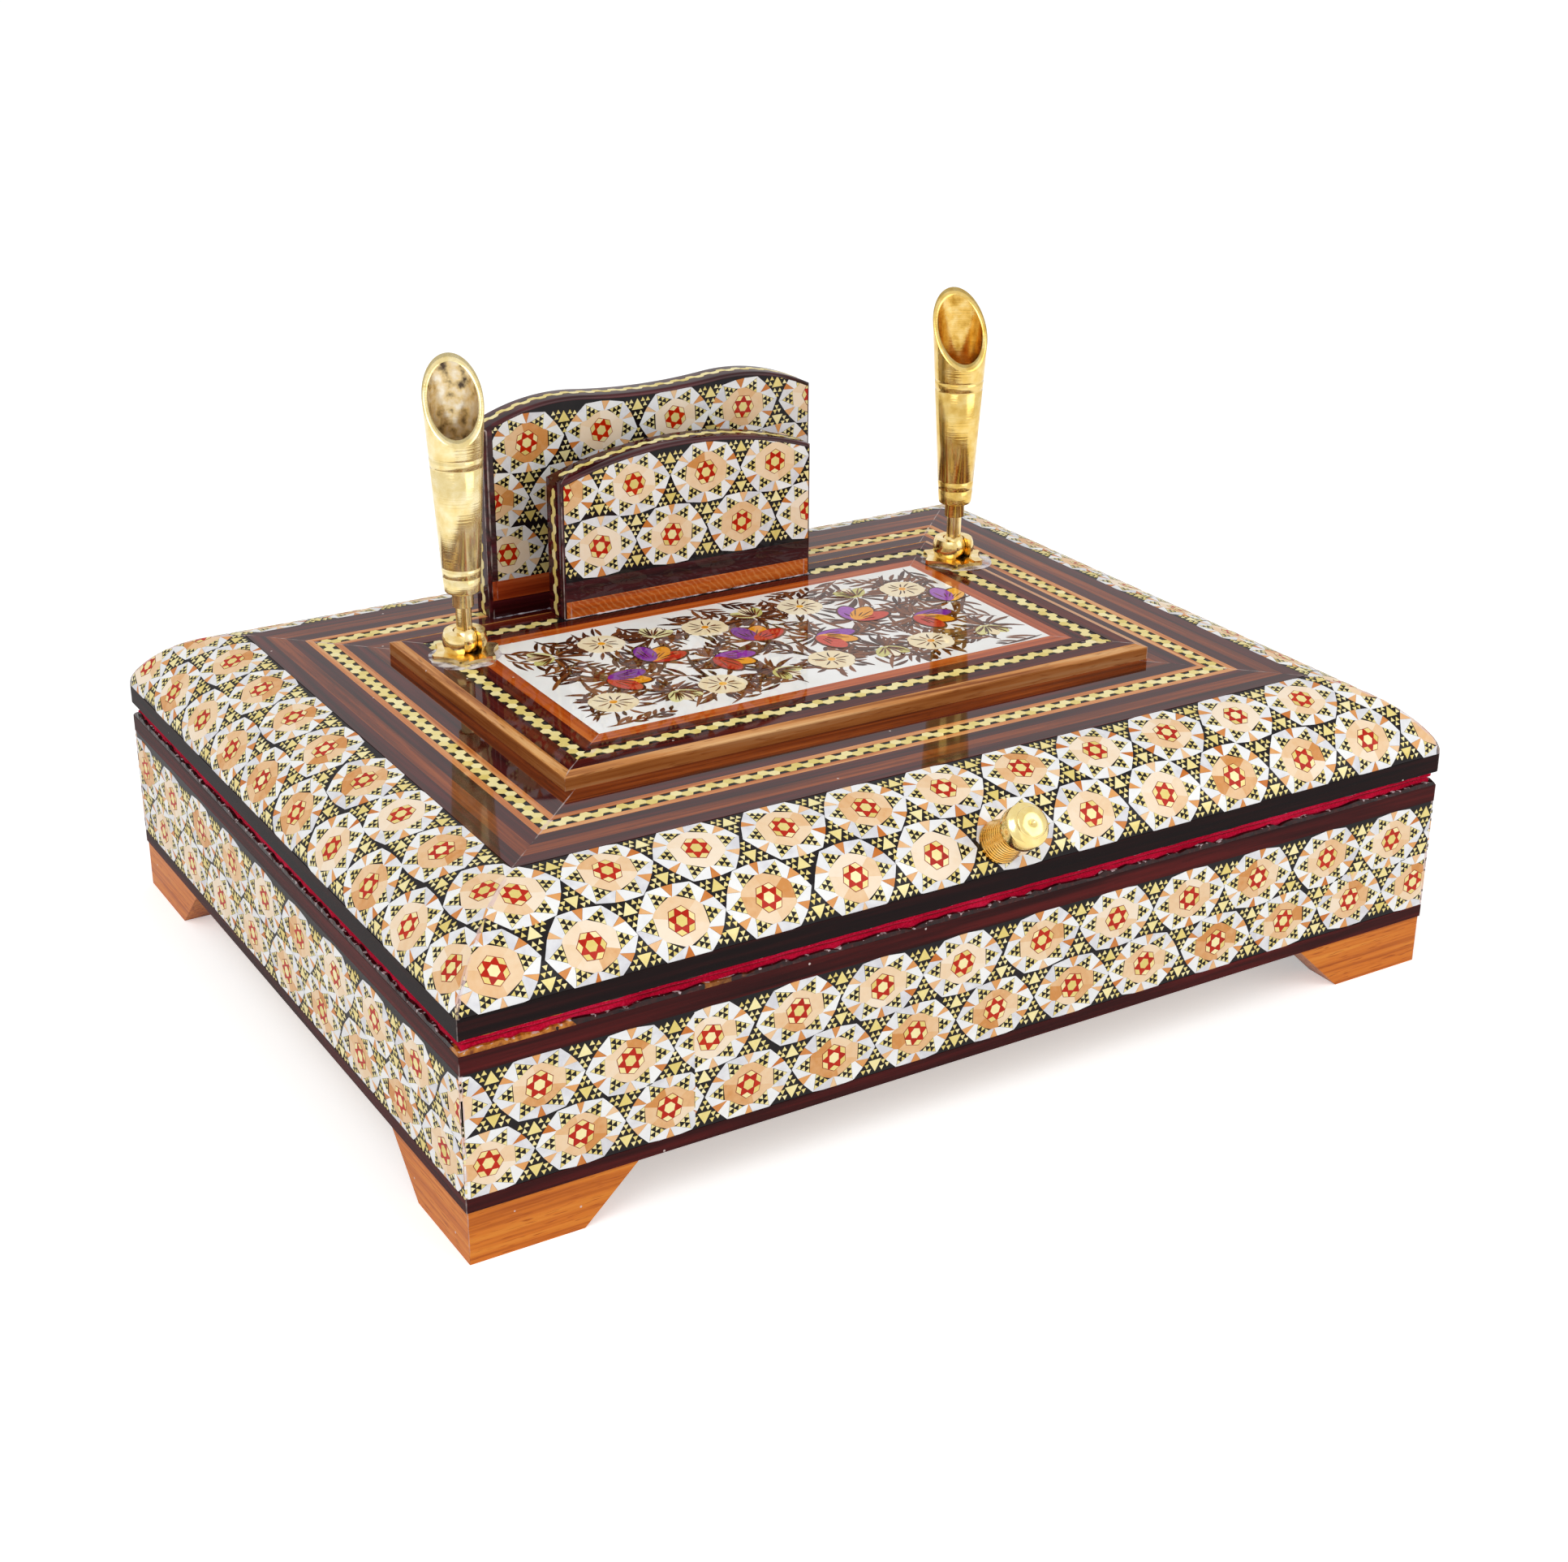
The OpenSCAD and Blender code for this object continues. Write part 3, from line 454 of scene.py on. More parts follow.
def trim_once(chips, inside):
    """Cuts polygons to where inside(points) is positive: corners inside stay, and an edge that crosses
    zero gets the point where a straight run between its two values is zero."""
    corners, *facts = chips
    value = inside(corners)
    value_on = np.roll(value, -1, 1)
    within = value >= 0
    crossing = within != (value_on >= 0)
    share = value / np.where(crossing, value - value_on, 1)
    cut = corners + share[..., None] * (np.roll(corners, -1, 1) - corners)
    count, wide = within.shape
    points = np.stack([corners, cut], 2).reshape(count, 2 * wide, 2)
    keep = np.stack([within, crossing], 2).reshape(count, 2 * wide)
    order = np.argsort(~keep, axis=1, kind="stable")
    points = np.take_along_axis(points, order[..., None], 1)
    kept = keep.sum(1)
    last = np.take_along_axis(points, np.maximum(kept - 1, 0)[:, None, None], 1)
    points = np.where((np.arange(2 * wide) < kept[:, None])[..., None], points, last)
    alive = kept > 2
    return (points[alive][:, :max(int(kept.max()), 3)], *[fact[alive] for fact in facts])


def trim(chips, *edges):
    """Cuts polygons along several edges, one after the other."""
    for inside in edges:
        chips = trim_once(chips, inside)
    return chips


def only(chips, wanted):
    """The polygons of a set for which wanted is true."""
    return tuple(fact[wanted] for fact in chips)


def join_cut(*sets):
    """Puts sets of polygons together that may have different numbers of corners."""
    wide = max(part[0].shape[1] for part in sets)
    return join(*[(pad(part[0], wide), *part[1:]) for part in sets])


def slice_up(chips, levels):
    """Cuts polygons along level lines, so that they can bend with a curved surface."""
    parts = []
    for low, high in zip(levels[:-1], levels[1:]):
        v = chips[0][..., 1]
        near = (v.max(1) > low) & (v.min(1) < high)
        parts.append(trim(only(chips, near), lambda p: p[..., 1] - low, lambda p: high - p[..., 1]))
    return join_cut(*parts)


# %% [markdown]
# ## Chips and their ground
# Each polygon becomes a thin prism let into a slab of ebony. Six depths a hundredth of a millimetre apart
# keep the layers of a rod from fighting for the same surface, and the slab lies lowest, so the black
# shows as glue lines. The flat pattern also serves as the texture map: it is folded into square cells to
# fill the map evenly.

# %% Prisms on a slab
LEVEL_STEP = 0.02      # how far a chip lies above one of a whole level less
TOP_LEVEL = 2          # level of the chips that are flush
GROUND_DROP = 0.1      # depth of the slab's face
CHIP_ROOT = 0.4        # depth of the chips' undersides
VENEER = 0.95          # depth of the slab's underside
SHORT_EDGE = 1e-4      # an edge this short gets no wall
NO_AREA = 1e-7         # twice the area under which a triangle is left out
MAP_MARGIN = 0.12      # share of a cell of the texture map left free at each border


def unfold(points, length, height):
    """Map coordinates: the strip is cut in equal lengths that lie in a square of cells. The first cell is
    kept for the ground, and its middle is returned too."""
    side = max(2, math.ceil(math.sqrt(length / height)))
    run = length / (side * side - 1)
    cell = np.clip((points[..., 0].mean(1) // run).astype(int), 0, side * side - 2) + 1
    scale = (1 - 2 * MAP_MARGIN) / max(run, height)
    u = (points[..., 0] - ((cell - 1) * run)[:, None]) * scale + MAP_MARGIN
    v = points[..., 1] * scale + MAP_MARGIN
    return np.stack([(cell % side)[:, None] + u, (cell // side)[:, None] + v], -1) / side, 0.5 / side


def prisms(chips, lay, length, height):
    """Points, faces and facts of prisms: a fan on top, the same fan below, and walls. Faces with no area
    go, and the ends of an edge too short for a wall are brought together."""
    corners, kind, level, tone = chips
    count, wide = corners.shape[:2]
    for _ in range(wide):
        after = np.roll(corners, -1, 1)
        short = np.linalg.norm(after - corners, axis=-1) <= SHORT_EDGE
        corners = np.where(short[..., None], after, corners)
    flat, ground_uv = unfold(corners, length, height)
    drop = np.repeat((TOP_LEVEL - level)[:, None] * LEVEL_STEP, wide, 1)
    top, normal = lay(corners, -drop)
    root, _ = lay(corners, np.full((count, wide), -CHIP_ROOT))
    number = np.arange(count * 2 * wide).reshape(count, 2, wide)
    fan = np.stack([np.repeat(number[:, :, :1], wide - 2, 2), number[:, :, 1:-1], number[:, :, 2:]], -1)
    on = np.roll(number, -1, 2)
    wall = np.stack([number[:, 0], number[:, 1], on[:, 1], on[:, 0]], -1)
    spoke = corners - corners[:, :1]
    area = spoke[:, 1:-1, 0] * spoke[:, 2:, 1] - spoke[:, 1:-1, 1] * spoke[:, 2:, 0]
    real = area > NO_AREA
    sides = np.linalg.norm(np.roll(corners, -1, 1) - corners, axis=-1) > SHORT_EDGE
    sides &= real.any(1)[:, None]
    owner = np.repeat(kind[:, None], wide, 1)
    faces = fan[:, 0][real].tolist() + fan[:, 1][real][:, ::-1].tolist() + wall[sides].tolist()
    owners = np.concatenate([owner[:, 2:][real], owner[:, 2:][real], owner[sides]])
    both = lambda values: np.stack([values, values], 1)
    tones = both(np.repeat(tone[:, None], wide, 1)).reshape(-1)
    points = np.stack([top, root], 1).reshape(-1, 3)
    return points, faces, owners, both(flat).reshape(-1, 2), tones, both(normal).reshape(-1, 3), ground_uv


def used_only(faces, *arrays):
    """Drops points that no face uses, and numbers the faces anew."""
    used = np.unique(np.concatenate([np.ravel(face) for face in faces]))
    fresh = np.zeros(used.max() + 1, dtype=int)
    fresh[used] = np.arange(len(used))
    return [fresh[face].tolist() for face in faces], [values[used] for values in arrays]


def inlay(chips, borders, lay, length, height, thick=VENEER):
    """Arrays of one inlay: a slab of ebony between two borders of flat points, with chips let into it."""
    points, faces, owners, flat, tones, normal, ground_uv = prisms(chips, lay, length, height)
    if borders is None:
        return points, faces, owners, flat, tones, normal
    first, second = borders
    section = (first, GROUND_DROP), (second, GROUND_DROP), (second, thick), (first, thick)
    ring = [lay(side, np.full(len(side), -depth))[0] for side, depth in section]
    slab, slab_faces = tube(np.stack(ring, 1))
    slab_normal = np.repeat(lay(first, np.zeros(len(first)))[1], 4, 0)
    shift = len(slab)
    return (np.concatenate([slab, points]), slab_faces + [[i + shift for i in face] for face in faces],
            np.concatenate([np.full(len(slab_faces), EBONY), owners]),
            np.concatenate([np.full((shift, 2), ground_uv), flat]),
            np.concatenate([np.full(shift, 0.5), tones]), np.concatenate([slab_normal, normal]))


def mosaic(name, body, node, inlays, bent=False):
    """One mosaic piece from one to four inlays; each inlay has its own corner of the texture map."""
    cells = 1 if len(inlays) == 1 else 2
    points, faces, owners, flat, tones, normal = zip(*inlays)
    flat = [(uv + [k % cells, k // cells]) / cells for k, uv in enumerate(flat)]
    starts = np.cumsum([0] + [len(part) for part in points[:-1]])
    faces = [[i + start for i in face] for start, part in zip(starts.tolist(), faces) for face in part]
    faces, (points, flat, tones, normal) = used_only(
        faces, *[np.concatenate(part) for part in (points, flat, tones, normal)])
    return piece(name, points, faces, mosaic_finishes, body, np.concatenate(owners), flat, tones,
                 normal if bent else None, (node,) if node else ())


print("tiling ready")

# %% [markdown]
# ## Glue in the mitres
# Where two strips meet on a corner, filler and old lacquer show as a pale, broken line. It is the same on
# every wood and on the mosaic, so it is one node group: how far a point is from the side and from the end
# of its frame, and a line where the two are equal.

# %% Mitre group
FRAME_INPUTS = {"Half Width": 0.1, "Half Depth": 0.1, "Middle": 0.0}


def frame_distances(tree, given):
    """How far a point is from its frame's side and end: |x| - half width, |y - middle| - half depth."""
    x, y, _ = object_xyz(tree)
    from_middle = maths(tree, "ABSOLUTE", maths(tree, "SUBTRACT", y, given["Middle"]))
    return (maths(tree, "SUBTRACT", maths(tree, "ABSOLUTE", x), given["Half Width"]),
            maths(tree, "SUBTRACT", from_middle, given["Half Depth"]))


mitre_tree, given, result = group("mitre line", {**FRAME_INPUTS, "Line": 0.0002}, ("Mitre",))
from_side, from_end = frame_distances(mitre_tree, given)
off_line = maths(mitre_tree, "ABSOLUTE", maths(mitre_tree, "SUBTRACT", from_side, from_end))
broken = noise(mitre_tree, 260.0, 4.0)
ragged = maths(mitre_tree, "MULTIPLY", given["Line"], maths(mitre_tree, "MULTIPLY", broken, 2.0))
on_line = maths(mitre_tree, "LESS_THAN", off_line, ragged)
patchy = spread_out(mitre_tree, broken, 0.4, 0.6)
mitre_tree.links.new(maths(mitre_tree, "MULTIPLY", on_line, patchy), result["Mitre"])


def frame_of(*names):
    """The half sizes and middle that the mitre and grain groups need, from the box round some nodes."""
    corners = np.array([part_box(name) for name in names])
    low, high = corners[:, 0].min(0), corners[:, 1].max(0)
    half, middle = (high - low) / 2, (high + low) / 2
    return dict(Half_Width=half[0], Half_Depth=half[1], Middle=middle[1])


whole_box = frame_of("upper_edging")
print("mitre frame of the box", {key: round(value, 4) for key, value in whole_box.items()})

# %% [markdown]
# ## Finishes of the chips
# Bone is a cool white with faint veins, the pale wood runs from cream to amber, and the brass is dull
# under its lacquer. Each chip carries a number of its own, its tint, which the finish reads to pick a
# colour, so neighbours seldom match. A clear coat over everything is the lacquer.

# %% Mosaic finishes
LACQUER = dict(Coat_Weight=0.35, Coat_Roughness=0.03, Specular_IOR_Level=0.0)


def chip_finish(name, stops, fine, streak, rough=0.5, metal=0.0):
    """A chip's colour from its tint, pushed a little up and down by a noise of that fineness per metre."""
    made, tree, shader = material(name, Roughness=rough, Metallic=metal, **LACQUER)
    push = maths(tree, "MULTIPLY", maths(tree, "SUBTRACT", noise(tree, fine, 3.0), 0.5), streak)
    colour = ramp(tree, maths(tree, "ADD", tint_of(tree), push), *stops)
    glue = use(tree, mitre_tree, Line=0.0006, **whole_box)["Mitre"]
    colour_in(tree, shader, blend(tree, maths(tree, "MULTIPLY", glue, 0.75), colour, srgb("#dfc3bf")))
    return made


blond_stops = (0.0, "#f7e5cd"), (0.4, "#f1d3ad"), (0.75, "#e7b884"), (1.0, "#d4904e")
mosaic_finishes = [chip_finish(*facts) for facts in (
    ("ebony ground", ((0.0, "#0d0a0c"), (1.0, "#221a1c")), 300, 1.2),
    ("bone", ((0.0, "#d8d7dc"), (0.3, "#e8e8ea"), (1.0, "#f6f6f4")), 500, 0.9, 0.45),
    ("blond wood", blond_stops, 700, 0.3),
    ("amber wood", ((0.0, "#f1cda2"), (0.4, "#e6a664"), (1.0, "#c8702a")), 700, 0.3),
    ("red wood", ((0.0, "#9c1402"), (0.5, "#bc1f03"), (1.0, "#d03608")), 900, 0.5),
    ("brass chip", ((0.0, "#e0ca72"), (0.5, "#eedc92"), (1.0, "#f7ebb2")), 1200, 0.5, 0.4, 0.15),
)]
print("mosaic finishes:", [finish.name for finish in mosaic_finishes])

# %% [markdown]
# ## Mosaic on the box walls
# Each wall carries one flat strip, two rows of stars high. A function lays the flat pattern on the wall:
# along the wall, up, and out by a depth. On the front the maker joined two lengths, and the stars jump a
# little at the joint.

# %% Mosaic walls
ROW_STEP = 13.3
low, high = box_mm("khatam_front")
BOX_HALF_W = high[0]
BOX_FRONT, BOX_BACK = low[1], box_mm("khatam_back")[1][1]
STRIP_LOW, STRIP_H = low[2], high[2] - low[2]


def vectors(*values):
    """Float arrays of some short lists."""
    return [np.array(value, dtype=float) for value in values]


def frame_sides(low, high):
    """The four sides of a rectangle, walked round: start corner, direction along, direction outwards."""
    (x0, y0), (x1, y1) = low[:2], high[:2]
    return {"front": vectors((x0, y0), (1, 0), (0, -1)), "right": vectors((x1, y0), (0, 1), (1, 0)),
            "back": vectors((x1, y1), (-1, 0), (0, 1)), "left": vectors((x0, y1), (0, -1), (-1, 0))}


SIDES = frame_sides((-BOX_HALF_W, BOX_FRONT), (BOX_HALF_W, BOX_BACK))
WALL_ROWS = {
    "front": ((6.85, 5.2, 19.75), (20.2, 16.2, 19.75)),
    "right": ((6.4, 5.0, 20.6), (19.8, 15.3, 20.6)),
    "back": ((6.85, 9.2, 19.8), (20.2, 19.1, 19.8)),
    "left": ((5.8, 16.3, 21.25), (19.2, 5.9, 21.1)),
}
FRONT_JOINT = 50.4
AFTER_JOINT_ROWS = ((6.85, 1.55, 20.4), (20.2, 13.2, 20.4))
END_GAP = 0.15     # the slab stops this short of the corner, under the next wall's chips


def side_length(side):
    """The length of that side of the box."""
    return 2 * BOX_HALF_W if side in ("front", "back") else BOX_BACK - BOX_FRONT


def lay_on_wall(side):
    """A flat point (u, v) and a depth go to corner + u along + (base + v) up + depth outwards."""
    corner, along, out = SIDES[side]

    def lay(flat, depth):
        level = corner + flat[..., :1] * along + depth[..., None] * out
        normal = np.broadcast_to([*out, 0.0], (*flat.shape[:-1], 3))
        return np.concatenate([level, STRIP_LOW + flat[..., 1:]], -1), normal
    return lay


def trim_box(chips, length, height):
    """Trims a pattern to a rectangle from the origin."""
    return trim(chips, lambda p: p[..., 0], lambda p: length - p[..., 0],
                lambda p: p[..., 1], lambda p: height - p[..., 1])


for side, rows in WALL_ROWS.items():
    length = side_length(side)
    chips = tile(rows, length, ROW_STEP)
    if side == "front":
        left_part = trim(chips, lambda p: FRONT_JOINT - p[..., 0])
        right_part = trim(tile(AFTER_JOINT_ROWS, length, ROW_STEP), lambda p: p[..., 0] - FRONT_JOINT)
        chips = join_cut(left_part, right_part)
    chips = trim_box(chips, length, STRIP_H)
    ends = [np.array([[u, 0], [u, STRIP_H]]) for u in (END_GAP, length - END_GAP)]
    strip = inlay(chips, ends, lay_on_wall(side), length, STRIP_H)
    made = mosaic("mosaic_" + side, "box", "khatam_" + side, [strip])
    print(made.name, len(chips[1]), "chips", len(made.data.polygons), "faces")

# %% [markdown]
# ## Mosaic round the lid
# The lid's edge swells like a cushion: a tight arc low down runs into a wide arc above. The same flat
# pattern bends over it. The height on the flat is measured along the arc, and at the corners the strip is
# cut where the next one begins, on the mitre. The chips are first sliced along the strip, because a flat
# chip can't follow a curve.

# %% Mosaic lid
LID_ROW_STEP = 15.0
LOW_R = 6.7
KNEE, TOP_SLOPE = math.radians(55), math.radians(5)
low, high = box_mm("khatam_lid_front")
LID_FRONT, LID_BAND_TOP, LID_TOP = low[1], low[2], high[2]
HIGH_R = (LID_TOP - LID_BAND_TOP - LOW_R * math.cos(KNEE)) / (math.cos(TOP_SLOPE) - math.cos(KNEE))
LOW_ARC = LOW_R * (math.pi / 2 - KNEE)
ARC_LENGTH = LOW_ARC + HIGH_R * (KNEE - TOP_SLOPE)
LID_ROWS = {
    "front": ((7.3, 9.7, 20.0), (22.3, 19.9, 19.95)),
    "right": ((7.3, 7.0, 20.1), (22.3, 17.2, 20.1)),
    "back": ((7.3, 8.0, 20.0), (22.3, 18.0, 20.0)),
    "left": ((7.3, 5.6, 20.2), (22.3, 13.8, 20.3)),
}


def lid_edge(v):
    """Distance in and up, and the normal, at an arc length v: centre + radius (-sin slope, cos slope)."""
    lower = v < LOW_ARC
    slope = np.where(lower, math.pi / 2 - v / LOW_R, KNEE - (v - LOW_ARC) / HIGH_R)
    radius = np.where(lower, LOW_R, HIGH_R)
    shift = np.where(lower, 0.0, HIGH_R - LOW_R)
    out, up = np.sin(slope), np.cos(slope)
    inward = LOW_R + shift * math.sin(KNEE) - radius * out
    return inward, radius * up - shift * math.cos(KNEE), out, up


def lay_on_lid(side):
    """A flat point goes to the lid's edge at that arc length, and out by a depth along the edge's normal."""
    corner, along, out = SIDES[side]

    def lay(flat, depth):
        inward, rise, tilt_out, tilt_up = lid_edge(flat[..., 1])
        level = corner + flat[..., :1] * along + ((depth * tilt_out - inward)[..., None]) * out
        height = LID_BAND_TOP + rise + depth * tilt_up
        normal = np.concatenate([tilt_out[..., None] * out, tilt_up[..., None]], -1)
        return np.concatenate([level, height[..., None]], -1), normal
    return lay


bands = np.concatenate([np.linspace(0, LOW_ARC, 5)[:-1], np.linspace(LOW_ARC, ARC_LENGTH, 13)])
for side, rows in LID_ROWS.items():
    length = side_length(side)
    chips = trim_box(tile(rows, length, LID_ROW_STEP), length, ARC_LENGTH)
    chips = trim(slice_up(chips, bands), lambda p: p[..., 0] - lid_edge(p[..., 1])[0],
                 lambda p: length - lid_edge(p[..., 1])[0] - p[..., 0])
    mitre = lid_edge(bands)[0]
    ends = np.stack([mitre, bands], 1), np.stack([length - mitre, bands], 1)
    strip = inlay(chips, ends, lay_on_lid(side), length, ARC_LENGTH)
    made = mosaic("mosaic_lid_" + side, "lid", "khatam_lid_" + side, [strip], bent=True)
    print(made.name, len(chips[1]), "chips", len(made.data.polygons), "faces")

# %% [markdown]
# ## Woods
# All the banding is veneer that runs along its strip and turns the corner on a mitre. One node group
# gives the grain: it compares how far a point is from the side and from the end of its frame, so that
# streaks run along each strip and meet on the diagonal. A second, finer noise gives the open pores of the
# orange wood, and a scatter of small pale dots is dust in the lacquer.

# %% Grain group and woods
grain_tree, given, result = group(
    "mitred grain", {**FRAME_INPUTS, "Fineness": 1.0}, ("Streak", "Pore", "Speck"))
x, y, z = object_xyz(grain_tree)
turned = maths(grain_tree, "GREATER_THAN", *frame_distances(grain_tree, given))
along = put(grain_tree, "Mix", {0: turned, 2: x, 3: y}).outputs[0]
across = put(grain_tree, "Mix", {0: turned, 2: y, 3: x}).outputs[0]


def grain_noise(stretch, fine, detail):
    """Noise drawn out along the grain: stretch and fine are its steps per metre along and across."""
    wide = maths(grain_tree, "MULTIPLY", given["Fineness"], fine)
    vector = put(grain_tree, "CombineXYZ", {
        0: maths(grain_tree, "MULTIPLY", along, stretch),
        1: maths(grain_tree, "MULTIPLY", across, wide),
        2: maths(grain_tree, "MULTIPLY", z, wide)}).outputs[0]
    drawn = put(grain_tree, "TexNoise", {
        "Vector": vector, "Scale": 1.0, "Detail": detail, "Distortion": 0.3})
    return drawn.outputs["Fac"]


grain_tree.links.new(grain_noise(18, 620, 4.0), result["Streak"])
grain_tree.links.new(spread_out(grain_tree, grain_noise(210, 2300, 1.0), 0.6, 0.72), result["Pore"])
dust = put(grain_tree, "TexVoronoi", {"Vector": object_place(grain_tree), "Scale": 210.0})
few = put(grain_tree, "SeparateColor", {0: dust.outputs["Color"]}).outputs[0]
speck = maths(grain_tree, "MULTIPLY", maths(grain_tree, "LESS_THAN", dust.outputs["Distance"], 0.055),
              maths(grain_tree, "GREATER_THAN", few, 0.8))
grain_tree.links.new(maths(grain_tree, "MULTIPLY", speck, 0.8), result["Speck"])


def wood(name, frame_node, dark, middle, light, pore, fineness=1.0, coat=0.35, flame=0.0, shade_below=None):
    """A lacquered wood whose grain follows the frame of that node. pore is how dark its pores are, flame
    how strong the slanting figure across its grain is, and below shade_below it is painted darker: a painted
    shade on its side."""
    made, tree, shader = material(
        name, Roughness=0.42, Coat_Weight=coat, Coat_Roughness=0.035, Specular_IOR_Level=0.0)
    around = frame_of(frame_node)
    grain = use(tree, grain_tree, Fineness=fineness, **around)
    colour = ramp(tree, grain["Streak"], (0.3, dark), (0.5, middle), (0.7, light))
    colour = blend(tree, maths(tree, "MULTIPLY", grain["Pore"], pore), colour, srgb(dark))
    if flame:
        waves = {"Scale": 340.0, "Distortion": 6.0, "Detail": 3.0, "Detail Scale": 1.2}
        figure = put(tree, "TexWave", {"Vector": object_place(tree), **waves}, bands_direction="DIAGONAL")
        figure = ramp(tree, figure.outputs["Fac"], (0.2, middle), (0.75, light), (0.95, "#e8a868"))
        colour = blend(tree, flame, colour, figure)
    if shade_below is not None:
        # painted shade: below shade_below the wood is blended toward its dark colour, standing for the shade
        # on the lipping's side under its lit top
        shaded_side = maths(tree, "LESS_THAN", object_xyz(tree)[2], shade_below * MM)
        colour = blend(tree, maths(tree, "MULTIPLY", shaded_side, 0.6), colour, srgb(dark))
    glue = use(tree, mitre_tree, Line=0.00016, **around)["Mitre"]
    worn = maths(tree, "MAXIMUM", maths(tree, "MULTIPLY", glue, 0.45), grain["Speck"])
    colour_in(tree, shader, blend(tree, worn, colour, srgb("#d9c9c4")))
    bump_in(tree, shader, grain["Pore"], 0.25, 0.0001, invert=True)
    return made


def dress(finish, *names):
    """Gives a finish to CAD nodes."""
    for name in names:
        slots = nodes[name].material_slots
        if not slots:
            nodes[name].data.materials.append(finish)
        for slot in slots:
            slot.material = finish


LIP_SHADOW = box_mm("plinth_lipping")[1][2] - 0.9     # under this height the plinth's lipping gets a painted shade on its side
for name, node, colours, pore, coat in (
        ("blackened edging", "lid_edging", ("#0e0506", "#190708", "#2e0c0c"), 0.2, 0.2),
        ("rosewood bands", "top_dark_bands", ("#2a0809", "#420f0e", "#5a1713"), 0.2, 0.6),
        ("walnut bands", "top_brown_bands", ("#4a1c0a", "#75310f", "#9a4c1d"), 0.5, 0.6),
        ("orange lines", "top_orange_lines", ("#a8551f", "#d0844a", "#e2a970"), 0.3, 0.5),
        ("plinth rosewood", "plinth_dark_bands", ("#2a0808", "#4d130e", "#6b2413"), 0.2, 0.45),
        ("orange frame", "picture_frame", ("#8e3a0b", "#b65014", "#cb6d2a"), 0.5, 0.6)):
    dress(wood(name, node, *colours, pore, coat=coat), node)
dress(wood("rosewood edging", "upper_edging", "#240607", "#3b0c0c", "#571413", 0.2, coat=0.2),
      "upper_edging", "lower_edging")
dress(wood("orange lipping", "plinth_lipping", "#80400f", "#c78446", "#e2b27a", 0.6, coat=0.4,
           shade_below=LIP_SHADOW), "plinth_lipping")
plate_wood = wood("plate rosewood", "card_front_plate", "#22070a", "#3a0e12", "#551a1e", 0.2, coat=0.55)
front_strip_wood = wood("orange strip", "card_front_strip", "#93390a", "#bd5513", "#d27630", 0.5, flame=0.28)
rear_strip_wood = wood("red strip", "card_rear_strip", "#8a2e12", "#b0481f", "#c86434", 0.5)
dress(wood("orange feet", "bottom_panel", "#ac5412", "#d27522", "#de8a30", 1.0, fineness=1.5),
      *["foot_" + end + side for end in ("front", "back") for side in ("_left", "_right")])
dress(wood("carcass wood", "bottom_panel", "#9a6a3c", "#bf9058", "#d2a873", 0.6, coat=0.0),
      *[side + "_wall" for side in SIDES], *["lid_" + side + "_rail" for side in SIDES],
      "bottom_panel", "lid_panel", "plinth_board")
print("woods dressed")

# %% [markdown]
# ## Brass
# The funnels, their bases and the knob are turned from brass bar and polished, and the hinges are brass
# too. What the eye reads as turned metal is a set of very fine lines round the axis, so the bump is a
# noise along the axis only.

# %% Brass
turning_tree, given, result = group(
    "turning lines", {"Axis X": 0.0, "Axis Y": 0.0, "Axis Z": 1.0, "Fineness": 2600.0}, ("Line", "Stain"))
x, y, z = object_xyz(turning_tree)
height = maths(turning_tree, "MULTIPLY", z, given["Axis Z"])
height = maths(turning_tree, "MULTIPLY_ADD", y, given["Axis Y"], height)
height = maths(turning_tree, "MULTIPLY_ADD", x, given["Axis X"], height)
steps = maths(turning_tree, "MULTIPLY", height, given["Fineness"])
lines = put(turning_tree, "TexNoise", {"W": steps, "Scale": 1.0, "Detail": 2.0}, noise_dimensions="1D")
turning_tree.links.new(lines.outputs["Fac"], result["Line"])
turning_tree.links.new(noise(turning_tree, 420.0, 6.0), result["Stain"])


def brass(name, axis, colours, rough=0.1, strength=0.12, metal=1.0):
    """Polished brass with turning lines round an axis; the colours run from stained to bright, and metal
    is less than one where it has dulled."""
    made, tree, shader = material(name, Metallic=metal)
    marks = use(tree, turning_tree, Axis_X=axis[0], Axis_Y=axis[1], Axis_Z=axis[2])
    colour_in(tree, shader, ramp(tree, marks["Stain"], *zip((0.3, 0.48, 0.7), colours)))
    gloss = spread_out(tree, marks["Stain"], 0.3, 0.75, To_Min=rough, To_Max=rough + 0.08)
    tree.links.new(gloss, shader.inputs["Roughness"])
    bump_in(tree, shader, marks["Line"], strength, 0.0001)
    return made


POLISHED = ("#dcb868", "#ecd08c", "#f6e4b4")
UPRIGHT = (0, 0, 1)
dress(brass("base brass", UPRIGHT, POLISHED, 0.14), "left_pen_base", "right_pen_base", "left_ball_stem",
      "right_ball_stem")
dress(brass("hinge brass", (1, 0, 0), POLISHED, 0.22), "hinge_box_leaves", "hinge_pins", "hinge_lid_leaves")
print("brass dressed")
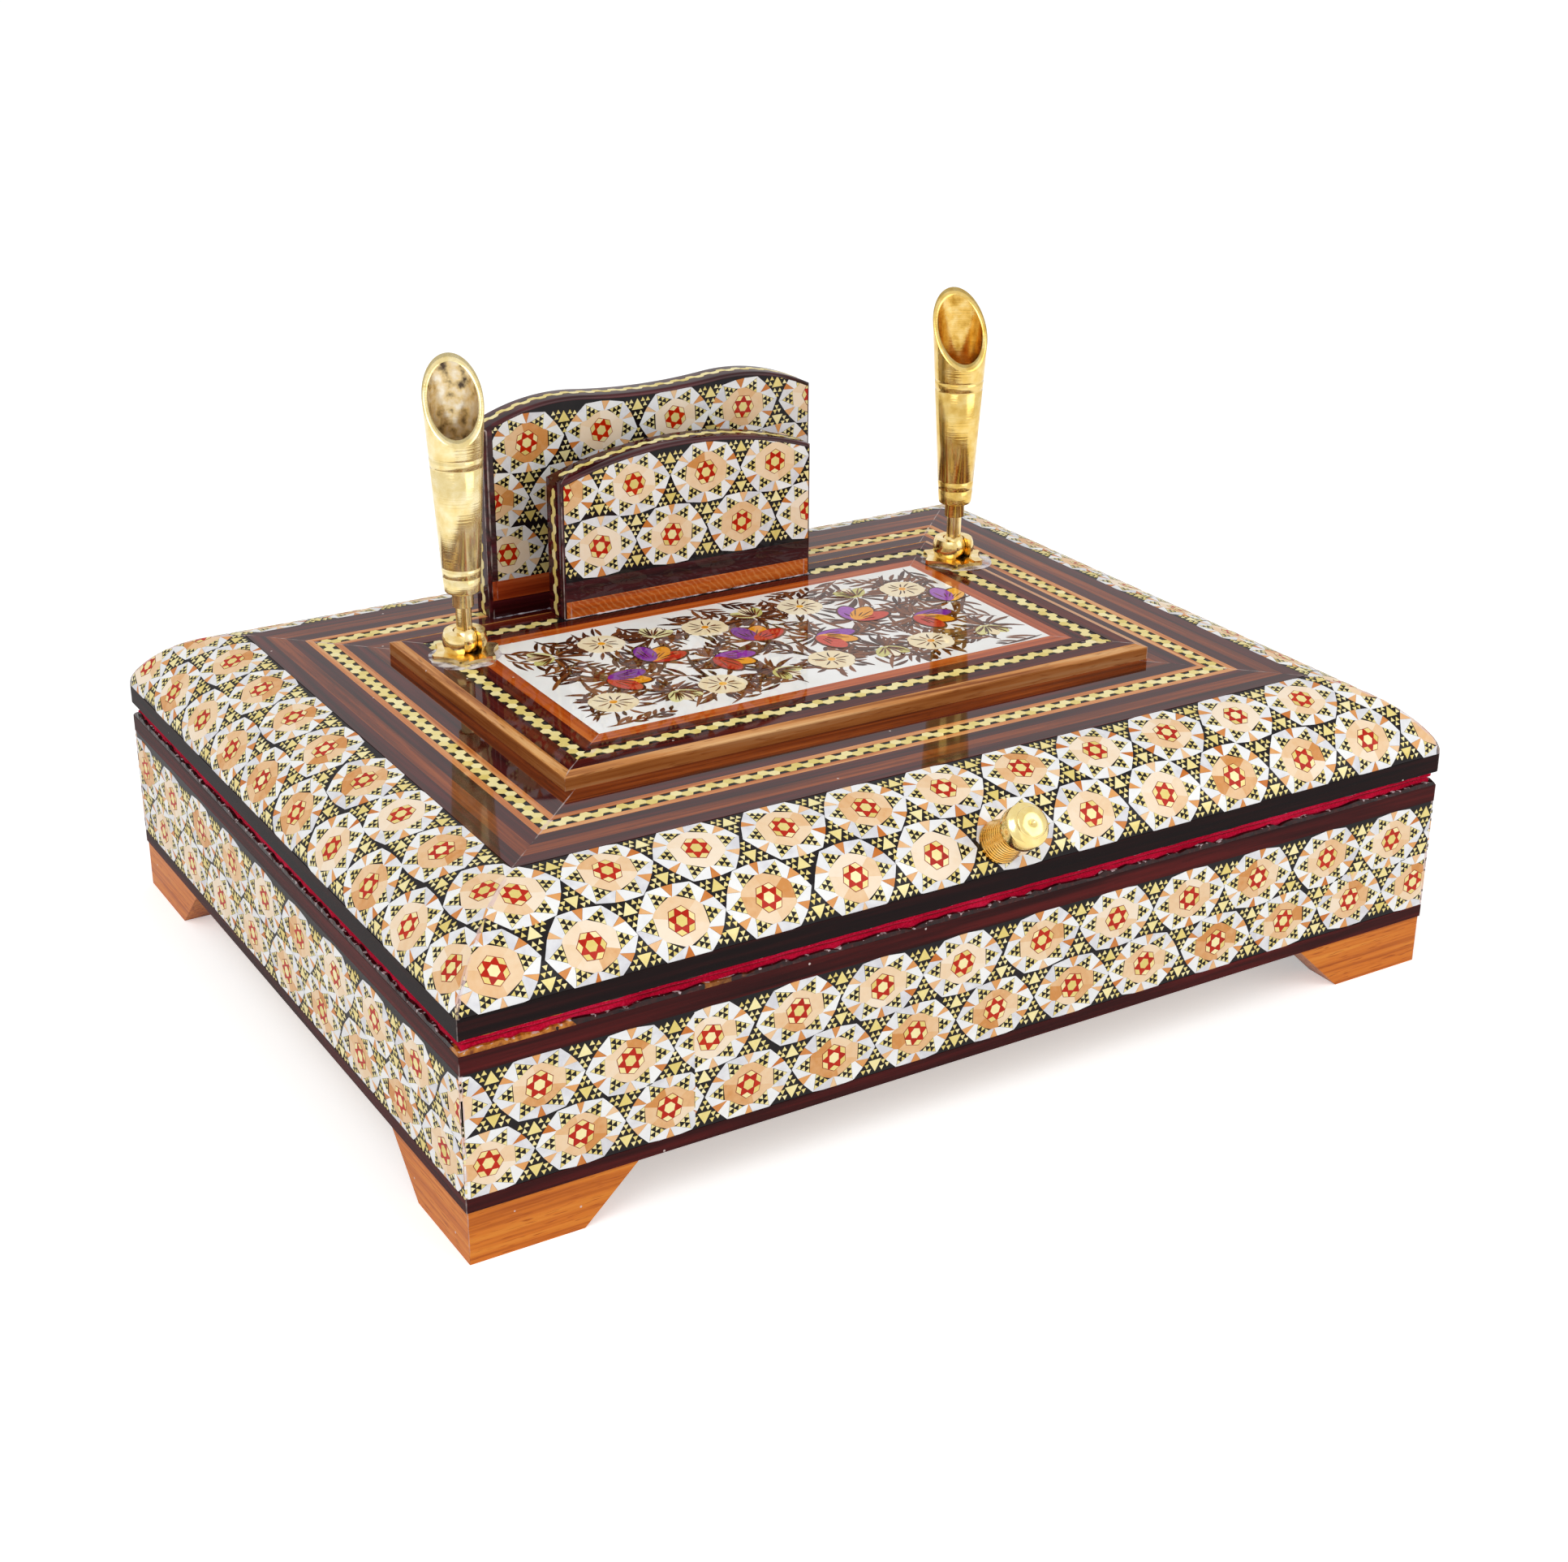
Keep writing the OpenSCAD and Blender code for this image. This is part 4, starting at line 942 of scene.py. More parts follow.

# %% [markdown]
# ## Turned pieces
# A funnel and the knob come off the lathe: a profile of radii and heights goes round an axis. The mouth
# of a funnel is sawn off on a slant, so the end of its profile changes on the way round. Where a wall of
# radius a + b z meets the sloping plane z = top - k radius, the height is (top - k a) / (1 + k b). The
# funnels' insides are painted less bright, a painted shade in their hollows, and the left one is also
# stained.

# %% Funnels
STEPS_ROUND = 96
TURN = np.linspace(0, 2 * math.pi, STEPS_ROUND, endpoint=False)
PLINTH_TOP = box_mm("plinth_dark_bands")[1][2]
PEN_X, PEN_Y = {"left": -65.4, "right": 72.8}, 30.85
SOCKET_R, NECK_R, FOOT_R, MOUTH_R, BORE_R = 1.35, 2.5, 4.2, 6.9, 4.2
NECK_LOW, SOCKET_TOP, FOOT_LOW, MOUTH_Z = 12.15, 17.7, 15.55, 59.75     # heights above the plinth
BORE_LOW, BORE_TOP, BORE_POINT = 27.15, 39.15, 25.05
FOOT_ROUND, GROOVE, GROOVES = 0.9, 0.25, (19.45, 21.75, 45.6, 47.9)
MOUTH_SLANT, MOUTH_TURN = math.radians(53), math.radians(17)
OUT_SLOPE = (MOUTH_R - FOOT_R) / (MOUTH_Z - FOOT_LOW)
IN_SLOPE = 0.071
CRISP = 0.04       # half the width of a turned edge


def lathe(radius, height, origin, axis):
    """Rings of points: origin + height axis + radius (cos turn side + sin turn over), side lying along x."""
    side, axis = np.array([1.0, 0, 0]), np.array(axis, dtype=float)
    way = np.cos(TURN)[:, None] * side + np.sin(TURN)[:, None] * np.cross(axis, side)
    radius, height = (np.broadcast_to(np.atleast_2d(v.T).T, (len(v), STEPS_ROUND)) for v in (radius, height))
    return np.array(origin) + height[..., None] * axis + radius[..., None] * way


def outer_wall(z):
    """Radius of the funnel's outside."""
    return FOOT_R + (z - FOOT_LOW) * OUT_SLOPE


def mouth_height(wall_at_zero, slope):
    """Height of the sawn mouth on a wall, for each step round."""
    steep = math.tan(MOUTH_SLANT) * np.cos(TURN + math.pi / 2 + MOUTH_TURN)
    return (MOUTH_Z - steep * wall_at_zero) / (1 + steep * slope)


def funnel_profile():
    """Radii and heights from the socket round the outside, over the lip and down to the bottom of the
    bore; and how many of the rings lie outside."""
    z = np.array([[g - GROOVE, g, g + GROOVE] for g in GROOVES])
    turned = [(SOCKET_R, SOCKET_TOP), (SOCKET_R, NECK_LOW), (NECK_R - CRISP, NECK_LOW),
              (NECK_R, NECK_LOW + CRISP), (NECK_R, FOOT_LOW - CRISP), (NECK_R + CRISP, FOOT_LOW),
              (FOOT_R - FOOT_ROUND, FOOT_LOW)]
    bend = np.linspace(0, math.pi / 2, 6)[1:]
    round_r = FOOT_R - FOOT_ROUND + FOOT_ROUND * np.sin(bend)
    round_z = FOOT_LOW + FOOT_ROUND * (1 - np.cos(bend))
    fixed_r = np.concatenate([[r for r, _ in turned], round_r, (outer_wall(z) - [0, GROOVE, 0]).ravel()])
    fixed_z = np.concatenate([[h for _, h in turned], round_z, z.ravel()])
    share = np.append(np.linspace(0.04, 0.97, 20), (0.99, 1.0))[:, None]
    base = fixed_z[-1]
    up = base + share * (mouth_height(outer_wall(0.0), OUT_SLOPE) - base)
    down = BORE_TOP + share[::-1] * (mouth_height(BORE_R - BORE_TOP * IN_SLOPE, IN_SLOPE) - BORE_TOP)
    wide = lambda values: np.repeat(np.asarray(values, dtype=float)[:, None], STEPS_ROUND, 1)
    radius = [wide(fixed_r), outer_wall(up), BORE_R + (down - BORE_TOP) * IN_SLOPE, wide([BORE_R, 0.05])]
    height = [wide(fixed_z), up, down, wide([BORE_LOW, BORE_POINT])]
    return np.concatenate(radius), np.concatenate(height), len(fixed_r) + len(up)


OUTSIDES = {"left": ("#e4ca86", "#edd89c", "#f5e6b8"), "right": ("#d6ae54", "#e3bf6a", "#ecd088")}
# painted shade: the insides get darker, more saturated colours than the outsides to stand for the shade in
# the hollows; the left one's dark stop is a stain
INSIDES = {"left": ("#4a3a2a", "#dcc088", "#efe6d2"), "right": ("#b98a34", "#deb35a", "#efd088")}
METAL = {"left": (0.8, 0.6), "right": (0.9, 0.95)}
radius, height, outside = funnel_profile()
for side, x in PEN_X.items():
    rings = lathe(radius, height, (x, PEN_Y, PLINTH_TOP), UPRIGHT)
    points, faces = tube(rings)
    inner = np.repeat(np.arange(len(rings) - 1) >= outside, STEPS_ROUND).astype(int)
    finishes = [brass(side + " funnel brass", UPRIGHT, OUTSIDES[side], 0.14, 0.25, METAL[side][0]),
                brass(side + " funnel inside", UPRIGHT, INSIDES[side], 0.15, 0.2, METAL[side][1])]
    made = piece(side + "_pen_funnel", points, faces, finishes, side + "_pen",
                 np.append(inner, (0, 1)), replaces=(side + "_funnel",))
    made.data.shade_smooth()
print("funnels:", len(rings), "rings each")

# %% [markdown]
# The knob leans out at right angles to the lid's edge. Fine ripples run round its body, and its head is
# stepped.

# %% Knob
KNOB_TILT = math.radians(39.5)
KNOB_AXIS = (0, -math.cos(KNOB_TILT), math.sin(KNOB_TILT))
KNOB_FOOT_R, KNOB_WAIST_R, KNOB_HEAD_R, KNOB_FACE_R = 4.75, 3.1, 4.9, 3.4
KNOB_WAIST_L, KNOB_LEN, STUD_R, STUD_L = 8.9, 14.3, 1.5, 8.0
KNOB_RIPPLE, RIPPLE_PITCH, RIPPLES_FROM = 0.028, 0.68, 0.8
BODY_BRASS, HEAD_BRASS = ("#e6a648", "#efb95c", "#f5cc80"), ("#e8cb80", "#edd48c", "#f2de9e")
inward, rise = lid_edge(np.array(LOW_ARC + (KNEE + KNOB_TILT - math.pi / 2) * HIGH_R))[:2]
knob_at = (0.0, float(LID_FRONT + inward), float(LID_BAND_TOP + rise))
ripple_h = np.linspace(RIPPLES_FROM, KNOB_WAIST_L - 0.05, 90)
ripple_r = np.interp(ripple_h, (RIPPLES_FROM, KNOB_WAIST_L), (KNOB_FOOT_R, KNOB_WAIST_R))
ripple_r = ripple_r + KNOB_RIPPLE * np.sin(2 * math.pi * ripple_h / RIPPLE_PITCH)
stud = [(0.05, -STUD_L), (STUD_R, -STUD_L), (STUD_R, 0.02), (KNOB_FOOT_R, 0.02), (KNOB_FOOT_R, 0.06)]
head = [(KNOB_WAIST_R, KNOB_WAIST_L), (KNOB_HEAD_R - 0.6, KNOB_WAIST_L), (KNOB_HEAD_R - 0.1, 9.1),
        (KNOB_HEAD_R, 9.5), (KNOB_HEAD_R, 12.2), (KNOB_HEAD_R - 0.15, 12.6), (KNOB_HEAD_R - 0.6, 12.8),
        (KNOB_FACE_R + 0.25, 13.35), (KNOB_FACE_R + 0.05, 13.6), (KNOB_FACE_R, 13.7), (KNOB_FACE_R, 14.1),
        (KNOB_FACE_R - 0.2, KNOB_LEN), (0.75, KNOB_LEN), (0.65, KNOB_LEN - 0.05), (0.05, KNOB_LEN - 0.6)]
radius, height = (np.concatenate([[p[k] for p in stud], ripple, [p[k] for p in head]])
                  for k, ripple in enumerate((ripple_r, ripple_h)))
points, faces = tube(lathe(radius, height, knob_at, KNOB_AXIS))
on_head = np.repeat(np.arange(len(radius) - 1) >= len(radius) - len(head), STEPS_ROUND).astype(int)
finishes = [brass("knob body brass", KNOB_AXIS, BODY_BRASS, 0.14),
            brass("knob head brass", KNOB_AXIS, HEAD_BRASS, 0.12)]
made = piece("turned_knob", points, faces, finishes, "lid",
             np.append(on_head, (0, 1)), replaces=("knob",))
made.data.shade_smooth()
print("knob at", np.round(knob_at, 1).tolist())

# %% [markdown]
# ## Gold braids
# A braid is sliced from a stack of brass and ebony: hexagons, alternately high and low, that share their
# slanting sides, in a black ground. It frames the lid's top and the plinth, and its corners are cut on
# the mitre. The chips and the slab are made in the same way as the mosaic, so the four sides of a frame
# become one piece.

# %% Braids on the lid and the plinth
BRAID_PITCH, ZIGZAG_PITCH, BRAID_T = 4.2, 4.25, 0.6
BRAID_GOLD, ZIGZAG_GOLD = 3.4, 3.45     # widths of the gold in the two braids
STRIP_W = {"top_braid": 3.6, "plinth_zigzag": 3.7}
HEXAGON_RISE = 0.75 * math.sqrt(3)     # height of a braid of hexagons, over twice the side


def braid(pitch, height, length, kind=BRASS_CHIP):
    """Hexagons of side pitch / 3, the even ones high and the odd ones low, pressed to a height."""
    side = pitch / 3
    press = height / (2 * side * HEXAGON_RISE)
    step = np.arange(-2, 2 * math.ceil(length / pitch) + 2)
    middle = np.stack([step * pitch / 2, np.where(step % 2, 1, -1) * side * math.sqrt(3) / 4], -1)
    return polygons((middle[:, None] + polar(side, SIXTHS)) * [1, press], kind, 2)


def lay_flat(corner, along, out, top):
    """A flat point (u, v) goes to corner + u along - v outwards, at a height."""
    def lay(flat, depth):
        level = corner + flat[..., :1] * along - flat[..., 1:] * out
        normal = np.broadcast_to([0.0, 0.0, 1.0], (*flat.shape[:-1], 3))
        return np.concatenate([level, (top + depth)[..., None]], -1), normal
    return lay


def braid_frame(name, node, pitch, gold, bare_middle=0.0):
    """A braid round the rectangle of a node, cut on the mitre at its four corners. In the middle of the
    back it can be left out over a half length, where something stands on it."""
    low, high = box_mm(node)
    width = STRIP_W[node]
    inlays = []
    for side, (corner, along, out) in frame_sides(low, high).items():
        length = abs(np.dot(high[:2] - low[:2], along))
        chips = braid(pitch, gold, length)
        chips = (chips[0] + [rng.uniform(0, pitch), width / 2], *chips[1:])
        chips = trim(chips, lambda p: p[..., 1], lambda p: width - p[..., 1],
                     lambda p: p[..., 0] - p[..., 1], lambda p: length - p[..., 1] - p[..., 0])
        if side == "back" and bare_middle:
            chips = only(chips, np.abs(chips[0][..., 0] - length / 2).min(1) > bare_middle)
        ends = np.array([[0, 0], [width, width]]), np.array([[length, 0], [length - width, width]])
        inlays.append(inlay(chips, ends, lay_flat(corner, along, out, high[2]), length, width, BRAID_T))
    made = mosaic(name, "lid", node, inlays)
    print(made.name, len(made.data.polygons), "faces")


braid_frame("gold_braid", "top_braid", BRAID_PITCH, BRAID_GOLD)
braid_frame("gold_zigzag", "plinth_zigzag", ZIGZAG_PITCH, ZIGZAG_GOLD, bare_middle=35.2)

# %% [markdown]
# ## Mosaic on the card plates
# Each upright plate has a star veneer let into its face under a curved top; the rear plate has one on
# both faces. The flat pattern is trimmed along the curve of the plate, so the trimming functions are the
# plate's own circles. The veneer runs nearly to both ends of the plate, a hair proud of the wood, and so
# does the strip at its foot. The wood itself is a plate with rounded edges: its outline, drawn in towards
# both faces by a quarter circle.

# %% Mosaic plates
FRONT_PLATE_HALF, REAR_PLATE_HALF = 35.0, 46.0     # half lengths of the plates
FRONT_HALF, REAR_HALF = 34.85, 45.85               # half lengths of their patterns
FRONT_FOOT, REAR_FOOT = 9.2, 9.5     # heights of the veneers' lower edges above the plates' feet
INLAY_T = 0.75
FRONT_ROWS, FRONT_STEP = ((22.1, 19.75, 19.9), (7.8, 9.95, 19.9)), 14.3
REAR_ROWS, REAR_LOW_ROWS, REAR_STEP = ((33.6, 11.2, 20.3), (19.8, 1.2, 20.3)), ((6.3, 4.95, 20.0),), 13.75
REAR_LEAN = 0.021     # the rear rows climb along the plate by this share
REAR_CUT = 13.15      # height of the joint between the rear plate's two strips of mosaic
END_MARGIN, REAR_MARGIN = 0.65, 2.2     # bare wood at a veneer's ends, and at the rear plate's left end
PLATE_BORDER, PLATE_PROUD = 0.9, 0.05
PLATE_SOFT, FACE_DROP = 0.9, 0.12     # rounding of the wood's edges, and depth of its faces under the veneer
FRONT_H, FRONT_ARCH_R = 40.0, 105.08
REAR_H, HUMP_R, HUMP_X, REAR_DIP = 53.0, 50.0, 23.5, 1.3
DIP_R = (HUMP_X ** 2 + REAR_DIP ** 2) / (2 * REAR_DIP) - HUMP_R
MEET_X = HUMP_X * DIP_R / (DIP_R + HUMP_R)     # where a hump runs into the dip


def front_rise(x, border=0.0):
    """Height of the front plate's arc above the plinth: centre + root of (radius squared - x squared)."""
    return FRONT_H - FRONT_ARCH_R + np.sqrt((FRONT_ARCH_R - border) ** 2 - x ** 2)


def rear_rise(x, border=0.0):
    """Height of the rear plate above the lid: a round hump on each side, and a hollow arc between them."""
    hump = REAR_H - HUMP_R + np.sqrt((HUMP_R - border) ** 2 - (np.abs(x) - HUMP_X) ** 2)
    dip = REAR_H - REAR_DIP + DIP_R - np.sqrt((DIP_R + border) ** 2 - x ** 2)
    return np.where(np.abs(x) < MEET_X, dip, hump)


def lay_on_plate(face, base, half, out):
    """A flat point (u, v) goes along the plate's face from its left end, up it, and out by a depth."""
    def lay(flat, depth):
        x = out * (half - flat[..., 0])
        normal = np.broadcast_to([0.0, out, 0.0], (*flat.shape[:-1], 3))
        return np.stack([x, face + (depth + PLATE_PROUD) * out, base + flat[..., 1]], -1), normal
    return lay


def plate_inlay(rows, step, half, rise, foot, first_margin, low_rows=(), cut=0.0, lean=0.0, **place):
    """One plate's pattern, trimmed to margins at its ends and to its curved top; rise(x) - foot is the
    top above the veneer, and lean is how far the rows climb along the plate."""
    length = 2 * half
    curve = lambda u: rise(u - half, PLATE_BORDER) - foot
    height = float(curve(np.linspace(0, length, 99)).max())
    flat, *facts = tile(rows, length, step)
    chips = trim_box((flat + lean * flat[..., :1] * [0, 1], *facts), length, height + 1)
    if low_rows:
        upper = trim(chips, lambda p: p[..., 1] - cut)
        lower = trim(trim_box(tile(low_rows, length, step), length, height), lambda p: cut - p[..., 1])
        chips = join_cut(upper, lower)
    start, stop = first_margin, length - END_MARGIN
    chips = trim(chips, lambda p: curve(p[..., 0]) - p[..., 1], lambda p: p[..., 0] - start,
                 lambda p: stop - p[..., 0])
    u = np.linspace(start, stop, 67)
    borders = np.stack([u, curve(u)], 1), np.stack([u, np.zeros_like(u)], 1)
    return inlay(chips, borders, lay_on_plate(half=half, **place), length, height, INLAY_T)


low, high = box_mm("card_front_khatam")
front_inlay = plate_inlay(FRONT_ROWS, FRONT_STEP, FRONT_HALF, front_rise, FRONT_FOOT, END_MARGIN,
                          face=low[1], base=low[2], out=-1.0)
mosaic("mosaic_card_front", "lid", "card_front_khatam", [front_inlay])
low, high = box_mm("card_rear_khatam")
rear_inlays = [plate_inlay(REAR_ROWS, REAR_STEP, REAR_HALF, rear_rise, REAR_FOOT, REAR_MARGIN, REAR_LOW_ROWS,
                           REAR_CUT, REAR_LEAN, face=face, base=low[2], out=out)
               for face, out in ((low[1], -1.0), (high[1], 1.0))]
mosaic("mosaic_card_rear", "lid", "card_rear_khatam", rear_inlays)


def foot_strip(name, node, half, finish):
    """A flat strip over a plate's foot with softened long edges, walked along x as rings of six points."""
    low, high = box_mm(node)
    x = np.linspace(-half, half, 41)
    face, back, soft = low[1] - PLATE_PROUD, low[1] + 0.5, 0.15
    section = np.array([[back, high[2]], [face + soft, high[2]], [face, high[2] - soft],
                        [face, low[2] + soft], [face + soft, low[2]], [back, low[2]]])
    rings = np.concatenate([np.repeat(x[:, None, None], 6, 1), np.repeat(section[None], len(x), 0)], -1)
    points, faces = tube(rings)
    piece(name, points, faces, [finish], "lid", replaces=(node,))


def rounded_plate(name, node, half, rise):
    """The wood of a plate: its outline at both faces lies PLATE_SOFT inside the outline of its middle."""
    low, high = box_mm(node)
    bend = np.linspace(0, math.pi / 2, 7)
    inset = PLATE_SOFT * (1 - np.sin(bend))
    deep = FACE_DROP + PLATE_SOFT * (1 - np.cos(bend))
    rings = []
    depths = np.concatenate([low[1] + deep, high[1] - deep[::-1]])
    for border, y in zip(np.concatenate([inset, inset[::-1]]), depths):
        x = np.linspace(border - half, half - border, 97)
        outline = np.stack([x, low[2] + rise(x, border)], 1)
        outline = np.concatenate([[[x[0], low[2]]], outline, [[x[-1], low[2]]]])
        rings.append(np.stack([outline[:, 0], np.full(len(outline), y), outline[:, 1]], 1))
    points, faces = tube(np.array(rings))
    made = piece(name, points, faces, [plate_wood], "lid", replaces=(node,))
    made.data.shade_smooth()
    made.data.set_sharp_from_angle(angle=math.radians(40))


foot_strip("strip_front", "card_front_strip", FRONT_HALF - END_MARGIN, front_strip_wood)
foot_strip("strip_rear", "card_rear_strip", REAR_HALF - END_MARGIN, rear_strip_wood)
rounded_plate("plate_front", "card_front_plate", FRONT_PLATE_HALF, front_rise)
rounded_plate("plate_rear", "card_rear_plate", REAR_PLATE_HALF, rear_rise)
print("plates:", len(front_inlay[1]), "and", [len(part[1]) for part in rear_inlays], "faces")

# %% [markdown]
# ## Gold line round the plates' edges
# A fine braid runs up the side of each plate, over its curved top and down again, in the middle of the
# dark edge. It is bent along the outline: the distance along the flat braid is measured along the
# outline.

# %% Edge lines
EDGE_PITCH, EDGE_GOLD, EDGE_PROUD = 4.4, 2.5, 0.05
EDGE_END = 0.2     # bare edge at each end of the line


def lay_on_edge(outline, middle):
    """A flat point (u, v) goes to the outline at length u, v off its middle, and out by a depth."""
    step = np.diff(outline, axis=0)
    run = np.concatenate([[0], np.cumsum(np.hypot(*step.T))])
    way = step / np.hypot(*step.T)[:, None]

    def lay(flat, depth):
        u = np.clip(flat[..., 0], 0, run[-1])
        part = np.clip(np.searchsorted(run, u, side="right") - 1, 0, len(way) - 1)
        along = way[part]
        at = outline[part] + (u - run[part])[..., None] * along
        out = np.stack([-along[..., 1], along[..., 0]], -1)
        at = at + (depth + EDGE_PROUD)[..., None] * out
        normal = np.stack([out[..., 0], np.zeros_like(u), out[..., 1]], -1)
        return np.stack([at[..., 0], middle + flat[..., 1], at[..., 1]], -1), normal
    return lay, run[-1]


for plate, half, rise in (("front", FRONT_PLATE_HALF, front_rise), ("rear", REAR_PLATE_HALF, rear_rise)):
    low, high = box_mm("card_" + plate + "_plate")
    x = np.linspace(-half, half, 161)
    top = np.stack([x, low[2] + rise(x)], 1)
    outline = np.concatenate([[[-half, low[2]]], top, [[half, low[2]]]])
    lay, length = lay_on_edge(outline, (low[1] + high[1]) / 2)
    chips = trim(braid(EDGE_PITCH, EDGE_GOLD, length), lambda p: p[..., 0] - EDGE_END,
                 lambda p: length - EDGE_END - p[..., 0])
    for corner in (top[0, 1] - low[2], length - (top[-1, 1] - low[2])):
        u = chips[0][..., 0]
        chips = only(chips, (u.max(1) < corner) | (u.min(1) > corner))
    mosaic("edge_line_" + plate, "lid", None, [inlay(chips, None, lay, length, 3.0)])
    print("edge of the", plate, "plate:", round(length), "mm of line")

# %% [markdown]
# ## The painted panel
# The panel is bone-white, painted with a fine brush under lacquer: a vine with round blossoms, tulips and
# buds among brown fronds. Every brush mark, from a hair-thin barb to a petal, is the same shape, a bowed
# curve with a width that swells and dies away, so the painting is one array of strokes. Each stroke is a
# film of paint with its own small height, because two films at one height would flicker.

# %% Brush strokes
low, high = box_mm("picture_panel")
PANEL_MID, PANEL_HALF, PANEL_TOP = (low + high)[:2] / 2, (high - low)[:2] / 2, high[2]
INK, CREAM, SCARLET, SAFFRON, VIOLET, LEAF = range(6)
paint = np.random.default_rng(17)
painted = []


def brush(start, end, bow, width, pigment, level, blunt=0.8):
    """Strokes along the curve (1-t)^2 start + 2t(1-t) bend + t^2 end, as wide as width sin(pi t)^blunt."""
    start, end = np.broadcast_arrays(np.atleast_2d(start).astype(float), np.atleast_2d(end).astype(float))
    count = len(start)
    bow, width = (np.broadcast_to(value, count) for value in (bow, width))
    t = (1 - np.cos(np.linspace(0.12, math.pi - 0.12, 9))) / 2
    chord = end - start
    bend = (start + end) / 2 + bow[:, None] * np.stack([-chord[:, 1], chord[:, 0]], -1)
    at = t[None, :, None]
    path = (1 - at) ** 2 * start[:, None] + 2 * at * (1 - at) * bend[:, None] + at ** 2 * end[:, None]
    way = (1 - at) * (bend - start)[:, None] + at * (end - bend)[:, None]
    across = np.stack([-way[..., 1], way[..., 0]], -1) / np.linalg.norm(way, axis=-1, keepdims=True)
    half = (width[:, None] / 2 * np.sin(math.pi * t) ** blunt)[..., None]
    painted.append((path + across * half, path - across * half, np.full(count, pigment),
                    0.03 * level + 0.025 * paint.random(count)))


def rays(middle, count, first, last, near, far, jitter=0.25):
    """Start and end points of strokes that spread from a middle between two angles."""
    angle = np.linspace(first, last, count) + paint.normal(0, jitter * 0.3, count)
    return (middle + polar(near * np.ones(count), angle),
            middle + polar(far * paint.uniform(0.75, 1.15, count), angle + paint.normal(0, jitter, count)))


def frond(root, angle, length, barbs):
    """A fern spray: one bowed rib, and barbs on both sides that shorten towards its tip."""
    tip = root + polar(length, angle)
    bow = paint.uniform(-0.2, 0.2)
    brush(root, tip, bow, 1.0, INK, 1)
    t = np.linspace(0.12, 0.95, barbs)
    side = np.where(np.arange(barbs) % 2, 1.0, -1.0)
    bulge = 2 * bow * length * t * (1 - t)
    foot = root + (tip - root) * t[:, None] + polar(1, angle + math.pi / 2) * bulge[:, None]
    reach = length * (0.6 - 0.36 * t) * paint.uniform(0.8, 1.2, barbs)
    brush(foot, foot + polar(reach, angle + side * paint.uniform(0.45, 0.8, barbs)), 0.12 * side,
          paint.uniform(0.9, 1.4, barbs), INK, 1)


print("brush ready")

# %% [markdown]
# Fronds cover the ground, and those at the border point inwards. The vine runs along the panel in waves,
# with blossoms and buds above and below it in turn, and a tulip in each half wave.

# %% Vine, blossoms and fronds
WAVE = 28.0
for x in np.arange(-59.0, 60.0, 10.7):
    for y in np.arange(-28.0, 29.0, 9.3):
        root = np.array([x, y]) + paint.normal(0, 1.4, 2)
        at_border = abs(x) > 48 or abs(y) > 22
        angle = math.atan2(-y, -x) + paint.normal(0, 0.6) if at_border else paint.uniform(0, 2 * math.pi)
        frond(root, angle, paint.uniform(9.5, 13.0), 8)
vine_x = np.linspace(-58, 58, 33)
vine = np.stack([vine_x, 5.5 * np.sin(2 * math.pi * vine_x / WAVE)], 1)
brush(vine[:-1], vine[1:] + (vine[1:] - vine[:-1]) * 0.35, 0.0, 1.1, INK, 2, 0.5)
for k, x in enumerate(np.arange(-49.0, 50.0, WAVE / 2)):
    up = 1.0 if k % 2 else -1.0
    rose = np.array([x + paint.normal(0, 1.0), up * (17.0 + paint.normal(0, 1.0))])
    brush(np.array([x, -2.0 * up]), rose, 0.15 * up, 1.1, INK, 2, 0.5)
    brush(*rays(rose, 20, 0, 2 * math.pi, 5.6, 10.5), paint.uniform(-0.2, 0.2, 20),
          paint.uniform(0.8, 1.3, 20), INK, 2)
    brush(rose - [5.9, 0], rose + [5.9, 0], 0.0, 10.8, INK, 3, 0.5)
    petal = polar(2.6, SIXTHS + paint.uniform(0, 1))
    brush(rose - petal * 0.4, rose + petal * 2.2, 0.0, 7.2, CREAM, 4, 0.4)
    brush(*rays(rose, 11, 0, 2 * math.pi, 1.2, 4.4, 0.12), 0.1, 0.4, INK, 6)
    brush(rose - [0.9, 0], rose + [0.9, 0], 0.0, 1.7, SAFFRON, 7, 0.5)
    bud = np.array([x + paint.normal(0, 1.2), -up * 16.5])
    lean = -up * math.pi / 2 + paint.normal(0, 0.5)
    brush(bud - polar(7.5, lean), bud, 0.1, 0.9, INK, 2)
    for turn in (-0.6, 0.6, 0.0):
        brush(bud, bud + polar(6.6, lean + turn), 0.0, 3.6, LEAF if turn else CREAM, 4, 0.5)
    brush(*rays(bud, 11, lean - 0.9, lean + 0.9, 0.8, 6.2, 0.1), 0.06, 0.42, INK, 6)
    brush(*rays(bud, 14, lean + 1.3, lean + 5.0, 1.2, 8.5), 0.15, 1.0, INK, 2)
    heart = np.array([x + WAVE / 4, 2.5 * up]) - [2.0, 0]
    lean = up * 0.7 + paint.normal(0, 0.3)
    for turn, pigment in ((-0.62, SCARLET), (0.62, VIOLET), (0.0, SAFFRON)):
        brush(heart - polar(0.4, lean + turn), heart + polar(10.6, lean + turn), 0.0, 6.2, INK, 4, 0.5)
        brush(heart, heart + polar(9.9, lean + turn), 0.0, 5.3, pigment, 5, 0.5)
    brush(*rays(heart, 7, lean - 0.8, lean + 0.8, 2.5, 7.0, 0.06), 0.04, 0.32, INK, 7)
    brush(*rays(heart, 11, lean + 1.6, lean + 4.7, 1.0, 8.0), 0.18, 1.0, INK, 2)
print("strokes:", sum(len(part[2]) for part in painted))


